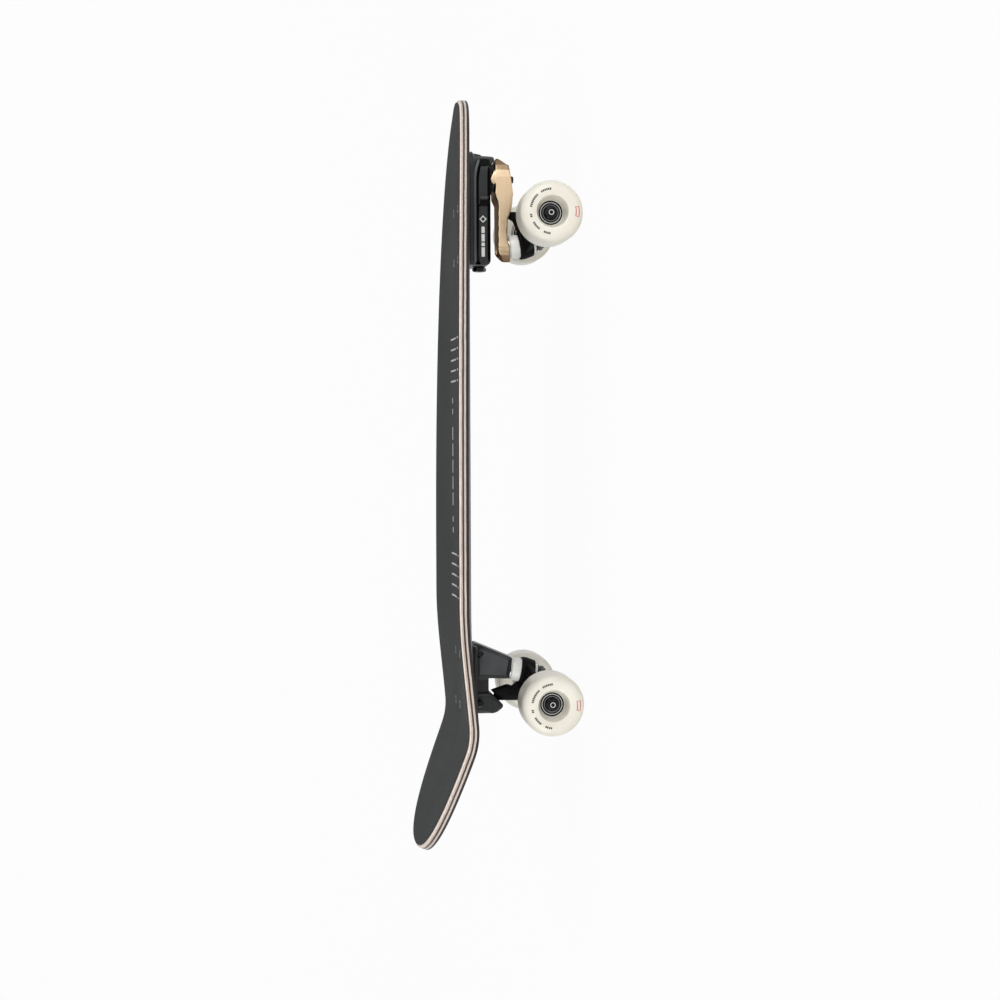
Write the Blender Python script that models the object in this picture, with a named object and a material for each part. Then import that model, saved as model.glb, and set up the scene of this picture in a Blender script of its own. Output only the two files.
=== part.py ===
"""A surfskate, standing on its four wheels.

Row frame: +X to the nose, +Y to the left, +Z up, origin on the ground under the deck's middle.
Everything is in metres. Each truck is modelled once in its own frame, whose origin is the middle
of its axle and whose +X runs inboard, towards the middle of the board: the rear truck stands as
modelled, and the front one is turned half round on its arm.
"""

import math

import bmesh
import bpy
from mathutils import Matrix, Vector

MM = 0.001
GAP = 0.3 * MM                  # between pieces that touch or are pressed together
BEVEL = 0.8 * MM                # cut off the edges of rods, nuts and castings
THROUGH = 2 * MM                # how far a cutter runs on past the surface that it opens
X_AXIS = Vector((1, 0, 0))
Y_AXIS = Vector((0, 1, 0))
Z_AXIS = Vector((0, 0, 1))

# Deck
DECK_LENGTH = 804 * MM          # in plan: about 813 mm along the bent surface
DECK_AHEAD = 1.5 * MM           # how far the deck's middle lies before the origin
DECK_WIDTH = 250 * MM
DECK_THICKNESS = 10 * MM
DECK_EDGE = 1.5 * MM            # rounding of the plies' edge
WIDEST_AT = -90 * MM
NOSE_SHAPE = (2.2, 0.43)        # powers of the outline from the widest place to the nose
TAIL_SHAPE = (7.0, 0.45)        # the same to the tail
TIP_HALF = 7 * MM               # half width of the last station at each tip
CONCAVE = 12 * MM               # how far the rails stand over the middle strip
FLAT_HALF = 28 * MM             # half width of that strip
CONCAVE_POWER = 1.4
CONCAVE_FADE = (-300 * MM, -130 * MM)
KICK_ANGLE = math.radians(20.7)
KICK_RADIUS = 90 * MM
KICK_CORNER = -270 * MM         # where the kick's straight line would meet the flat
GRIP_THICKNESS = 0.9 * MM
GRIP_INSET = 0.4 * MM           # the grip's edge inside the top ply's edge
NOSE_STATIONS = 13
TAIL_STATIONS = 13
KICK_STEPS = 4                  # faces through the kick's bend
KICK_CLEAR = 5 * MM             # no other station comes nearer to the bend
ACROSS = 6                      # faces across the deck

# Wheels, bearings and axles
WHEEL_DIAMETER = 65 * MM
WHEEL_WIDTH = 49 * MM
WHEEL_LIP = 10 * MM             # radius of the tread's edges
LIP_STEPS = 3
WHEEL_SIDES = 20                # a multiple of four, so that a flat side meets the ground
DISH_RADIUS = 20 * MM           # of the hollow round the bearing, at the wheel's face
DISH_DEPTH = (0.6 * MM, 0.4)    # how far its middle is drawn in, and its share of the depth there
CORE_WALL = 1.1 * MM
CORE_PROUD = 0.6 * MM           # how far the core stands past the bearings' faces
CORE_EDGE = 0.5 * MM
BEARING_SHOULDER = 1.7 * MM     # of the core inside the outer races
SHIELD = (1.2 * MM, 0.4 * MM)   # width of the race round the sunken shield, and its depth
BEARING_OUTER = 22 * MM
BEARING_BORE = 8 * MM
BEARING_WIDTH = 7 * MM
SPACER_LENGTH = 10 * MM
SPACER_WALL = 1.4 * MM
AXLE_DIAMETER = 8 * MM
AXLE_NUT_WIDTH = 12.6 * MM      # across flats
AXLE_NUT_HEIGHT = 5 * MM
AXLE_TIP = 1.0 * MM             # beyond the nut
HUB_OFFSET = 3 * MM             # how far the bearings sit inboard of the wheel's middle
HANGER_HALF = 82.5 * MM         # half of the hanger's length along the axle

# Where the trucks and the deck stand
AXLE_HEIGHT = WHEEL_DIAMETER / 2
RIDE_HEIGHT = 75.5 * MM         # of the deck's flat underside over the axles
DECK_UNDERSIDE = AXLE_HEIGHT + RIDE_HEIGHT
REAR_AXLE_X = -234 * MM
FRONT_AXLE_X = 272 * MM
SWING_X = 320.3 * MM            # the vertical axis that the front arm swings on

# Deck bolts
BOLT_ACROSS = 41.3 * MM
BOLT_ALONG = 54 * MM
REAR_BOLTS_X = -217 * MM        # middle of the rear four
FRONT_BOLTS_X = 259 * MM
BOLT_HEAD = 9.5 * MM
BOLT_SHANK = 4.8 * MM
BOLT_PLAY = 0.4 * MM            # round the shank in its holes
BOLT_TIP = 1.5 * MM             # beyond the lock nut
LOCK_NUT_WIDTH = 8 * MM
LOCK_NUT_HEIGHT = 5 * MM

# Kingpin and bushings: heights are measured along the kingpin, from the boss's face to the road
KINGPIN_FACE = Vector((25.2 * MM, 0, 30.7 * MM))    # in the truck frame
KINGPIN_TILT = math.radians(10)
KINGPIN_DIAMETER = 9.5 * MM
KINGPIN_HEAD = 16 * MM
KINGPIN_HEAD_HEIGHT = 5 * MM
KINGPIN_NUT_WIDTH = 14 * MM
KINGPIN_NUT_HEIGHT = 7.2 * MM
KINGPIN_TIP = 2 * MM
NUT_RIM = 0.2 * MM              # how far a nut's round end face lies inside its flats
WASHER_THICKNESS = 1.5 * MM
CUP_WASHER = 24 * MM
LOW_WASHER = 17 * MM
UPPER_BUSHING = (25 * MM, 12 * MM)                  # diameter and height
LOWER_BUSHING = (22 * MM, 17.6 * MM, 10 * MM)       # wide end, narrow end and height
BUSHING_PLAY = 0.5 * MM                             # round the kingpin, and in the ring's cups
BUSHING_BULGE = 0.4 * MM                            # of the upper one's middle

# Hanger
RING_OUTER = 29 * MM
RING_WEB = 6 * MM               # between the two bushing seats
RING_LIP = 2.4 * MM             # of the ring, round each bushing's end
RING_HOLE = 16 * MM
NUT_SCOOP = 23 * MM             # hollow in the hanger round the lower washer and nut
TUBE_END = 17 * MM              # outer diameters of the axle tube
TUBE_MIDDLE = 20 * MM
TUBE_THICK_HALF = 9 * MM        # half length of the tube's thick middle
WING_TIP = 13 * MM              # diameter of a wing where it runs out
WING_INSET = (1.5 * MM, 2.5 * MM)                   # inside the ring, at its top and its bottom
WEB_FOOT_HALF = 7 * MM          # half width of the stem's web on the tube
WING_HALF = 56 * MM             # where the ring's wings run out on the tube
STEM_BALL = 9 * MM
STEM_NECK = 7.2 * MM
STEM_ROOT = 14 * MM
CUP_WALL = 1.2 * MM
CUP_MOUTH = 0.6 * MM            # how much wider the cup's mouth is than its ball seat

# Rear pivot, in the truck frame: middle of its face, the way into the boss and the depth of the ball
REAR_PIVOT_FACE = Vector((-5.9 * MM, 0, 45.7 * MM))
REAR_PIVOT_INWARD = math.radians(135)
REAR_PIVOT_DEPTH = 6 * MM
REAR_STEM_ROOT = Vector((-3 * MM, 0, 31 * MM))
# The same for the front one, which enters the arm more steeply
FRONT_PIVOT_FACE = Vector((-10.5 * MM, 0, 30.1 * MM))
FRONT_PIVOT_INWARD = math.radians(108)
FRONT_PIVOT_DEPTH = 3.6 * MM
FRONT_STEM_ROOT = Vector((-7 * MM, 0, 17 * MM))

# Rear baseplate
RISER_THICKNESS = 3 * MM
RISER_PROUD = 0.2 * MM          # how far the riser stands out round the flange
FLANGE_THICKNESS = 4 * MM
FLANGE_LENGTH = 78 * MM
FLANGE_WIDTH = 56 * MM
FLANGE_CORNER = 7 * MM
FLANGE_MIDDLE = -220.6 * MM
BOSS_WIDTH = 28 * MM
BOSS_PANEL = 1.6 * MM           # depth of the hollows in its sides
PIVOT_BOSS_WIDTH = 25 * MM
WEB_WIDTH = 12 * MM
WEB_LOW = 53.5 * MM             # its lower edge over the axle
BOSS_ROOT = (50.7 * MM, 16.4 * MM)                  # inboard and outboard ends on the flange
BOSS_INBOARD = 12.7 * MM        # of the kingpin boss's face, from the kingpin
BOSS_OUTBOARD = 9.9 * MM
BOSS_RIM = 3.4 * MM             # round the hollows in its sides
PIVOT_FACE_UP = 9 * MM          # of the pivot boss's face, from the pivot's mouth
PIVOT_FACE_DOWN = 11.5 * MM
PIVOT_LOW_CORNER = 1.5 * MM
PIVOT_BACK = 16.5 * MM          # of the boss's round back, behind the mouth
PIVOT_BACK_CORNER = 14 * MM
PIVOT_BACK_RISE = 7 * MM        # of the back's corner over the face's low end
PIVOT_BOSS_EDGE = 3 * MM        # cut off the boss's side edges

# Front housing, arm and swing pivot
HOUSING_WIDTH = 50 * MM
HOUSING_FLANGE_WIDTH = 57 * MM
HOUSING_FLANGE = 5.2 * MM       # thickness
HOUSING_TAIL_X = 226 * MM
HOUSING_NOSE_X = 350 * MM
HOUSING_BOTTOM = AXLE_HEIGHT + 51.7 * MM
HOUSING_LIP = AXLE_HEIGHT + 47.1 * MM               # height of the front lip's edge
LIP_SLOPE = (13 * MM, 17 * MM)  # where the lip's slope starts and ends, before the swing axis
HOUSING_STEP = 2 * MM           # each step in from the flange, and the step's height
HOUSING_NOSE_CORNER = 20 * MM
HOUSING_TAIL_CORNER = 6 * MM
NUT_POCKET_PLAY = 1.6 * MM      # beside the lock nuts
HOLLOW_HALF = 15.5 * MM
HOLLOW_FLOOR = AXLE_HEIGHT + 54.5 * MM
HOLLOW_TAIL_X = 233 * MM
THRUST_BOSS = 34 * MM
THRUST_WASHER = (27 * MM, 1.7 * MM)                 # diameter and thickness
SWING_BEARING = (28 * MM, 12 * MM, 8 * MM)          # outer, bore and width
SHOULDER_OPENING = 22 * MM      # under the lower bearing
SHOULDER_THICKNESS = 1.8 * MM
HOUSING_WALL = 2 * MM           # between the bearings and the spring's hollow
PANEL_DEPTH = 1 * MM            # of the hollows in the housing's sides
PANEL_NOSE_X = 297 * MM
PANEL_RIM = 2.5 * MM
ARM_STEP = 3.2 * MM             # between the arm's head and the rest of its deck side
ARM_HEAD_END = (20 * MM, 27 * MM)                   # behind the swing axis, the step's two ends
ARM_NOSE = (7 * MM, 5 * MM)     # length and height of the slope at the arm's nose
ARM_TAIL_SLOPE = (9 * MM, 7 * MM)
ARM_BELLY = ((-17 * MM, -3.3 * MM), (14 * MM, 1.1 * MM))    # from the swing axis and the pivot's height
ARM_NOSE_LOW = 5.5 * MM         # of the nose's lower edge, over the pivot's height
ARM_PIVOT_FACE = 13.6 * MM      # length of the slanted face at the pivot
ARM_TOP = AXLE_HEIGHT + 45.9 * MM
ARM_HEAD = 43 * MM              # diameter round the swing axis
ARM_TAIL = 34 * MM              # width at the kingpin end
SHAFT_TIP = 8.4 * MM
SHAFT_TIP_Z = AXLE_HEIGHT + 24.3 * MM
PIVOT_NUT_WIDTH = 15 * MM
PIVOT_NUT_HEIGHT = 7 * MM
PIVOT_NUT_SEAT = AXLE_HEIGHT + 38 * MM
PIVOT_NUT_PLAY = 1 * MM         # round the nut's corners in the arm's pocket
CRANK_RADIUS = 23 * MM
CRANK_WIDTH = 8 * MM
CRANK_THICKNESS = 5 * MM
CRANK_PIN = 6 * MM
CRANK_HUB = 16 * MM

# Centring spring and its adjuster
SPRING_HEIGHT = AXLE_HEIGHT + 61.5 * MM
SPRING_WIRE = 1.6 * MM
SPRING_DIAMETER = 11 * MM       # to the middle of the wire
SPRING_CURLS = 8
CURL_POINTS = 8
ANCHOR = (10 * MM, 5 * MM)      # diameter and thickness of the adjuster's inner end
ANCHOR_X = 246 * MM
ADJUSTER_SCREW = 6 * MM
ADJUSTER_HEAD_WIDTH = 13 * MM
ADJUSTER_HEAD_HEIGHT = 4.7 * MM

# Faces round a turned piece
FINE = 24
MEDIUM = 18
COARSE = 16
HEXED = 12                      # a multiple of 12, for pieces with six flats


def clear_scene():
    for thing in list(bpy.data.objects):
        bpy.data.objects.remove(thing, do_unlink=True)


def look(name, colour, roughness, metallic=0.0):
    """A plain material, made once under its name."""
    made = bpy.data.materials.get(name) or bpy.data.materials.new(name)
    made.use_nodes = True
    shader = made.node_tree.nodes["Principled BSDF"]
    shader.inputs["Base Color"].default_value = (*colour, 1.0)
    shader.inputs["Roughness"].default_value = roughness
    shader.inputs["Metallic"].default_value = metallic
    made.diffuse_color = (*colour, 1.0)
    return made


def grip_look():
    return look("grip_sheet", (0.075, 0.078, 0.08), 0.9)


def ply_look():
    return look("pressed_plies", (0.72, 0.6, 0.52), 0.45)


def black_paint():
    return look("black_paint", (0.03, 0.032, 0.034), 0.4)


def gold_anodised():
    return look("gold_anodised", (0.72, 0.5, 0.33), 0.35, 1.0)


def steel():
    return look("zinc_steel", (0.6, 0.6, 0.6), 0.3, 1.0)


def black_steel():
    return look("black_steel", (0.04, 0.04, 0.045), 0.35, 0.8)


def wheel_urethane():
    return look("cream_urethane", (0.85, 0.82, 0.72), 0.4)


def bushing_urethane():
    return look("white_urethane", (0.86, 0.86, 0.82), 0.4)


def black_rubber():
    return look("black_rubber", (0.03, 0.03, 0.03), 0.7)


def base_of(parent):
    """Where a parent stands, in the frame that its children are modelled in."""
    return Vector(parent["base"]) if parent else Vector()


def frame(name, at, parent=None, base=None, turn=0.0):
    """An empty on a joint's axis or in the middle of a truck."""
    made = bpy.data.objects.new(name, None)
    bpy.context.scene.collection.objects.link(made)
    made.empty_display_size = 0.03
    made.parent = parent
    made.location = Vector(at) - base_of(parent)
    made.rotation_euler = (0, 0, turn)
    made["base"] = tuple(at if base is None else base)
    return made


def solid(name, shape, material, origin=(0, 0, 0), parent=None, sharp=35):
    """The object of a shape that was modelled in its parent's frame, with its own origin."""
    bmesh.ops.recalc_face_normals(shape, faces=shape.faces)
    bmesh.ops.translate(shape, vec=-Vector(origin), verts=shape.verts)
    mesh = bpy.data.meshes.new(name)
    shape.to_mesh(mesh)
    shape.free()
    mesh.shade_smooth()
    mesh.set_sharp_from_angle(angle=math.radians(sharp))
    made = bpy.data.objects.new(name, mesh)
    bpy.context.scene.collection.objects.link(made)
    made.parent = parent
    made.location = Vector(origin) - base_of(parent)
    made["base"] = tuple(origin)
    if material:
        mesh.materials.append(material)
    return made


def helper(name, shape, parent=None):
    """A hidden solid that others are cut by or joined to."""
    made = solid(name, shape, None, (0, 0, 0), parent)
    made.hide_render = True
    made.display_type = "WIRE"
    return made


def combine(target, other, operation):
    step = target.modifiers.new(other.name, "BOOLEAN")
    step.operation = operation
    step.object = other
    step.solver = "EXACT"


def along(direction, centre=(0, 0, 0)):
    """The matrix that takes +Z to a direction and the origin to a centre."""
    turn = Vector(direction).to_track_quat("Z", "Y").to_matrix().to_4x4()
    return Matrix.Translation(Vector(centre)) @ turn


def circle(radius, count):
    """Points of a polygon whose sides touch the circle of that radius."""
    corner = radius / math.cos(math.pi / count)
    turns = [2 * math.pi * (k + 0.5) / count for k in range(count)]
    return [(corner * math.cos(a), corner * math.sin(a)) for a in turns]


def ring_of(radius, count, hexed=False):
    """Corners round +Z. Six flats of that radius, or as many flats as there are corners."""
    if not hexed:
        return circle(radius, count)
    corners = []
    for k in range(count):
        turn = 2 * math.pi * (k + 0.5) / count
        from_flat = 2 * math.pi * k / count % math.radians(60)
        reach = radius / math.cos(min(from_flat, math.radians(60) - from_flat))
        corners.append((reach * math.cos(turn), reach * math.sin(turn)))
    return corners


def turned(profile, count, place=None):
    """Turns a closed profile of (radius, height) points round +Z.

    Points at radius 0 become poles, and a third value that is true gives a point six flats.
    """
    shape = bmesh.new()
    rows = []
    for radius, height, *hexed in profile:
        if radius == 0:
            rows.append([shape.verts.new((0, 0, height))] * count)
        else:
            points = ring_of(radius, count, bool(hexed))
            rows.append([shape.verts.new((x, y, height)) for x, y in points])
    for here, there in zip(rows, rows[1:] + rows[:1]):
        for k in range(count):
            n = (k + 1) % count
            corners = list(dict.fromkeys((here[k], here[n], there[n], there[k])))
            if len(corners) > 2:
                shape.faces.new(corners)
    if place:
        bmesh.ops.transform(shape, matrix=place, verts=shape.verts)
    return shape


def lofted(rings):
    """A solid through rings of points, all with the same count, with a cap on each end."""
    shape = bmesh.new()
    rows = [[shape.verts.new(point) for point in ring] for ring in rings]
    count = len(rings[0])
    for here, there in zip(rows, rows[1:]):
        for k in range(count):
            n = (k + 1) % count
            shape.faces.new((here[k], here[n], there[n], there[k]))
    shape.faces.new(rows[0])
    shape.faces.new(rows[-1])
    return shape


def prism(outline, low, high, place=None, edge=0.0):
    """Extrudes a flat outline from low to high along +Z, with its end edges rounded off by edge."""
    shape = lofted([[(x, y, low) for x, y in outline], [(x, y, high) for x, y in outline]])
    if edge:
        rims = [e for e in shape.edges if e.verts[0].co.z == e.verts[1].co.z]
        bmesh.ops.bevel(shape, geom=rims, offset=edge, segments=1, affect="EDGES")
    if place:
        bmesh.ops.transform(shape, matrix=place, verts=shape.verts)
    return shape


def merged(shapes):
    """One shape that holds all of several separate ones."""
    whole = bmesh.new()
    for shape in shapes:
        bmesh.ops.recalc_face_normals(shape, faces=shape.faces)
        mesh = bpy.data.meshes.new("piece")
        shape.to_mesh(mesh)
        shape.free()
        whole.from_mesh(mesh)
        bpy.data.meshes.remove(mesh)
    return whole


def across():
    """The place of a prism that is drawn in X and Z and extruded along Y."""
    return Matrix.Rotation(math.radians(90), 4, "X")


def rounded(corners, radius, steps=4):
    """The outline through corners, each replaced by an arc. Corners may carry their own radius."""
    outline = []
    for k, corner in enumerate(corners):
        here = Vector(corner[:2])
        before = Vector(corners[k - 1][:2]) - here
        after = Vector(corners[(k + 1) % len(corners)][:2]) - here
        own = corner[2] if len(corner) > 2 else radius
        if own <= 0:
            outline.append(tuple(here))
            continue
        half = before.angle(after) / 2
        reach = min(own / math.tan(half), 0.49 * min(before.length, after.length))
        start = here + before.normalized() * reach
        end = here + after.normalized() * reach
        for n in range(steps + 1):
            t = n / steps
            outline.append(tuple(start * (1 - t) ** 2 + here * 2 * t * (1 - t) + end * t ** 2))
    return outline


def ball(centre, radius, count=8):
    """Points of a round ball, for hulls."""
    up = Z_AXIS * radius
    points = [Vector(centre) + up, Vector(centre) - up]
    for ring in range(1, count // 2):
        lean = math.pi * ring / (count // 2)
        out, height = radius * math.sin(lean), radius * math.cos(lean)
        for k in range(count):
            turn = 2 * math.pi * (k + 0.5 * (ring % 2)) / count
            away = Vector((out * math.cos(turn), out * math.sin(turn), height))
            points.append(Vector(centre) + away)
    return points


def disc(centre, direction, radius, count=12):
    place = along(direction, centre)
    return [place @ Vector((x, y, 0)) for x, y in circle(radius, count)]


def hull(points):
    shape = bmesh.new()
    for point in points:
        shape.verts.new(point)
    found = bmesh.ops.convex_hull(shape, input=shape.verts)
    inside = [v for v in found["geom_interior"] if isinstance(v, bmesh.types.BMVert)]
    bmesh.ops.delete(shape, geom=inside, context="VERTS")
    loose = [v for v in shape.verts if not v.link_faces]
    bmesh.ops.delete(shape, geom=loose, context="VERTS")
    return shape


def inset(outline, distance):
    """A convex outline moved in by a distance on every side."""
    middle = sum((Vector(p) for p in outline), Vector((0, 0))) / len(outline)
    lines = []
    for k, point in enumerate(outline):
        start = Vector(point)
        run = (Vector(outline[(k + 1) % len(outline)]) - start).normalized()
        inward = Vector((-run.y, run.x))
        if inward.dot(middle - start) < 0:
            inward = -inward
        lines.append((start + inward * distance, run))
    corners = []
    for k, (start, run) in enumerate(lines):
        before, before_run = lines[k - 1]
        cross = run.x * before_run.y - run.y * before_run.x
        gap = before - start
        reach = (gap.x * before_run.y - gap.y * before_run.x) / cross
        corners.append(tuple(start + run * reach))
    return corners


def rod(diameter, low, high, count, place=None, chamfer=0.0):
    """A round rod between two heights, with its end edges cut off."""
    radius = diameter / 2
    if chamfer:
        profile = [(0, low), (radius - chamfer, low), (radius, low + chamfer)]
        profile += [(radius, high - chamfer), (radius - chamfer, high), (0, high)]
    else:
        profile = [(0, low), (radius, low), (radius, high), (0, high)]
    return turned(profile, count, place)


# Deck and grip

KICK_START = KICK_CORNER + KICK_RADIUS * math.tan(KICK_ANGLE / 2)
KICK_END = KICK_START - KICK_RADIUS * math.sin(KICK_ANGLE)

NOSE_TIP = DECK_AHEAD + DECK_LENGTH / 2
TAIL_TIP = DECK_AHEAD - DECK_LENGTH / 2


def spine(x):
    """The point of the deck's underside over x, and the way up from it there."""
    if x >= KICK_START:
        return Vector((x, 0, DECK_UNDERSIDE)), Z_AXIS
    turn = min(math.asin(min((KICK_START - x) / KICK_RADIUS, 1)), KICK_ANGLE)
    rise = KICK_RADIUS * (1 - math.cos(turn)) + max(KICK_END - x, 0) * math.tan(KICK_ANGLE)
    return Vector((x, 0, DECK_UNDERSIDE + rise)), Vector((math.sin(turn), 0, math.cos(turn)))


def concave(x, y):
    """How far the deck stands over its middle strip at a place."""
    low, high = CONCAVE_FADE
    fade = min(max((x - low) / (high - low), 0), 1)
    fade = fade * fade * (3 - 2 * fade)
    aside = max(abs(y) - FLAT_HALF, 0) / (DECK_WIDTH / 2 - FLAT_HALF)
    return CONCAVE * fade * aside ** CONCAVE_POWER


def half_width(x):
    """Half of the deck's width at x, from the outline's two curves."""
    tip = NOSE_TIP if x > WIDEST_AT else TAIL_TIP
    bend, power = NOSE_SHAPE if x > WIDEST_AT else TAIL_SHAPE
    share = min((x - WIDEST_AT) / (tip - WIDEST_AT), 1)
    return max(DECK_WIDTH / 2 * (1 - share ** bend) ** power, TIP_HALF)


def stations():
    """Places along the deck from nose to tail, close at the tips and through the kick's bend."""
    found = [WIDEST_AT]
    for tip, count in ((NOSE_TIP, NOSE_STATIONS), (TAIL_TIP, TAIL_STATIONS)):
        for k in range(1, count + 1):
            found.append(WIDEST_AT + (tip - WIDEST_AT) * math.sin(math.pi / 2 * k / count))
    clear = KICK_CLEAR
    found = [x for x in found if not KICK_END - clear < x < KICK_START + clear]
    for k in range(KICK_STEPS + 1):
        found.append(KICK_START - KICK_RADIUS * math.sin(KICK_ANGLE * k / KICK_STEPS))
    return sorted(found, reverse=True)


def shares_across():
    """Places across the deck as shares of its half width. The flat strip is between the middle ones."""
    flat = FLAT_HALF / (DECK_WIDTH / 2)
    steps = ACROSS // 2 - 1
    side = [flat + (1 - flat) * k / steps for k in range(steps + 1)]
    return [-s for s in reversed(side)] + [0] + side


def board_layer(shape, edge, height):
    """One layer of the deck's outline, drawn in by edge, at a height over the underside."""
    rows = []
    for x in stations():
        half = half_width(x)
        reach = abs((NOSE_TIP if x > WIDEST_AT else TAIL_TIP) - WIDEST_AT)
        drawn_in = WIDEST_AT + (x - WIDEST_AT) * (1 - edge / reach)
        place, up = spine(drawn_in)
        row = []
        for share in shares_across():
            y = share * (half - edge)
            over = up * (height + concave(drawn_in, y))
            row.append(shape.verts.new(place + Y_AXIS * y + over))
        rows.append(row)
    return rows


def rim_of(rows):
    """The corners round the outside of a layer."""
    right = [row[0] for row in rows]
    left = [row[-1] for row in reversed(rows)]
    return right + rows[-1][1:-1] + left + rows[0][-2:0:-1]


def board(layers):
    """A solid between the first and the last of (edge, height) layers."""
    shape = bmesh.new()
    made = [board_layer(shape, edge, height) for edge, height in layers]
    for rows in (made[0], made[-1]):
        for here, there in zip(rows, rows[1:]):
            for k in range(len(here) - 1):
                shape.faces.new((here[k], here[k + 1], there[k + 1], there[k]))
    rims = [rim_of(rows) for rows in made]
    for low, high in zip(rims, rims[1:]):
        for k in range(len(low)):
            n = (k + 1) % len(low)
            shape.faces.new((low[k], low[n], high[n], high[k]))
    return shape


GRIP_TOP = DECK_UNDERSIDE + DECK_THICKNESS + GAP + GRIP_THICKNESS
RISER_TOP = DECK_UNDERSIDE - GAP
FLANGE_TOP = RISER_TOP - RISER_THICKNESS - GAP
FLANGE_BOTTOM = FLANGE_TOP - FLANGE_THICKNESS
HOUSING_TOP = DECK_UNDERSIDE - GAP
HOUSING_SEAT = HOUSING_TOP - HOUSING_FLANGE


def bolt_places(middle):
    return [(middle + a * BOLT_ALONG / 2, b * BOLT_ACROSS / 2) for a in (1, -1) for b in (1, -1)]


def bolt_profile(play):
    """The countersunk head and the shank, both drawn out by a play, down from the grip's top."""
    head = BOLT_HEAD / 2 + play
    shank = BOLT_SHANK / 2 + (BOLT_PLAY if play else 0)
    return [(0, GRIP_TOP), (head, GRIP_TOP), (shank, GRIP_TOP - head + shank)]


def make_bolt_holes():
    """One cutter with a shape for every bolt, for each piece that the bolts pass through."""
    head, shank = bolt_profile(GAP)[1:]
    high, low = GRIP_TOP + THROUGH, HOUSING_SEAT - LOCK_NUT_HEIGHT - BOLT_TIP - THROUGH
    profile = [(0, high), (head[0], high), head, shank, (shank[0], low), (0, low)]
    places = bolt_places(REAR_BOLTS_X) + bolt_places(FRONT_BOLTS_X)
    holes = [turned(profile, HEXED, Matrix.Translation((x, y, 0))) for x, y in places]
    return helper("bolt_hole_cutter", merged(holes))


def make_deck(holes):
    top = DECK_THICKNESS
    layers = [(DECK_EDGE, 0), (0, DECK_EDGE), (0, top - DECK_EDGE), (DECK_EDGE, top)]
    deck = solid("deck", board(layers), ply_look(), sharp=30)
    combine(deck, holes, "DIFFERENCE")
    low = DECK_THICKNESS + GAP
    edge = DECK_EDGE + GRIP_INSET
    sheet = board([(edge, low), (edge, low + GRIP_THICKNESS)])
    grip = solid("grip_tape", sheet, grip_look(), parent=deck)
    combine(grip, holes, "DIFFERENCE")
    return deck


def make_bolts(name, middle, seat, deck):
    """Four countersunk bolts, each with its lock nut drawn up under a seat."""
    sides = ("front_left", "front_right", "rear_left", "rear_right")
    nut_top = seat - GAP
    nut_low = nut_top - LOCK_NUT_HEIGHT
    tip = nut_low - BOLT_TIP
    shank = BOLT_SHANK / 2
    flat = LOCK_NUT_WIDTH / 2
    profile = bolt_profile(0) + [(shank, nut_top), (flat, nut_top, 6), (flat, nut_low, 6)]
    profile += [(shank, nut_low), (shank, tip), (0, tip)]
    for side, (x, y) in zip(sides, bolt_places(middle)):
        shape = turned(profile, HEXED, Matrix.Translation((x, y, 0)))
        solid(f"{name}_bolt_{side}", shape, black_steel(), (x, y, GRIP_TOP), deck)


# The trucks, in their own frame

KINGPIN_DOWN = Vector((-math.sin(KINGPIN_TILT), 0, -math.cos(KINGPIN_TILT)))
KINGPIN_PLACE = along(KINGPIN_DOWN, KINGPIN_FACE)
CUP_WASHER_AT = GAP
UPPER_BUSHING_AT = CUP_WASHER_AT + WASHER_THICKNESS + GAP
RING_AT = UPPER_BUSHING_AT + UPPER_BUSHING[1] + GAP
LOWER_BUSHING_AT = RING_AT + RING_WEB + GAP
LOW_WASHER_AT = LOWER_BUSHING_AT + LOWER_BUSHING[2] + GAP
KINGPIN_NUT_AT = LOW_WASHER_AT + WASHER_THICKNESS + GAP
KINGPIN_NUT_END = KINGPIN_NUT_AT + KINGPIN_NUT_HEIGHT
KINGPIN_BORE = KINGPIN_DIAMETER + 2 * BUSHING_PLAY
RING_SEAT = KINGPIN_FACE + KINGPIN_DOWN * RING_AT     # the tilting axis runs through here


def kingpin_grip(height):
    """How far up the kingpin its head sits, for the head to lie just under a level surface."""
    level = (height - KINGPIN_FACE.z) / math.cos(KINGPIN_TILT)
    return level - KINGPIN_HEAD_HEIGHT - KINGPIN_HEAD / 2 * math.tan(KINGPIN_TILT) - GAP


def make_kingpin(name, grip, truck):
    radius = KINGPIN_DIAMETER / 2
    head = KINGPIN_HEAD / 2
    top = -grip - KINGPIN_HEAD_HEIGHT
    end = KINGPIN_NUT_END + KINGPIN_TIP
    profile = [(0, top), (head - BEVEL, top), (head, top + BEVEL), (head, -grip), (radius, -grip)]
    profile += [(radius, end - BEVEL), (radius - BEVEL, end), (0, end)]
    solid(f"{name}_kingpin", turned(profile, MEDIUM, KINGPIN_PLACE), steel(), KINGPIN_FACE, truck)


def make_kingpin_cutter(name, grip, truck):
    """The kingpin's hole and the pocket for its head, open upwards."""
    hole = KINGPIN_DIAMETER / 2 + GAP
    head = KINGPIN_HEAD / 2 + 2 * GAP
    top = -grip - 4 * KINGPIN_HEAD_HEIGHT
    stop = GAP - grip
    profile = [(0, top), (head, top), (head, stop), (hole, stop), (hole, THROUGH), (0, THROUGH)]
    return helper(f"{name}_kingpin_cutter", turned(profile, MEDIUM, KINGPIN_PLACE), truck)


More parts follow.
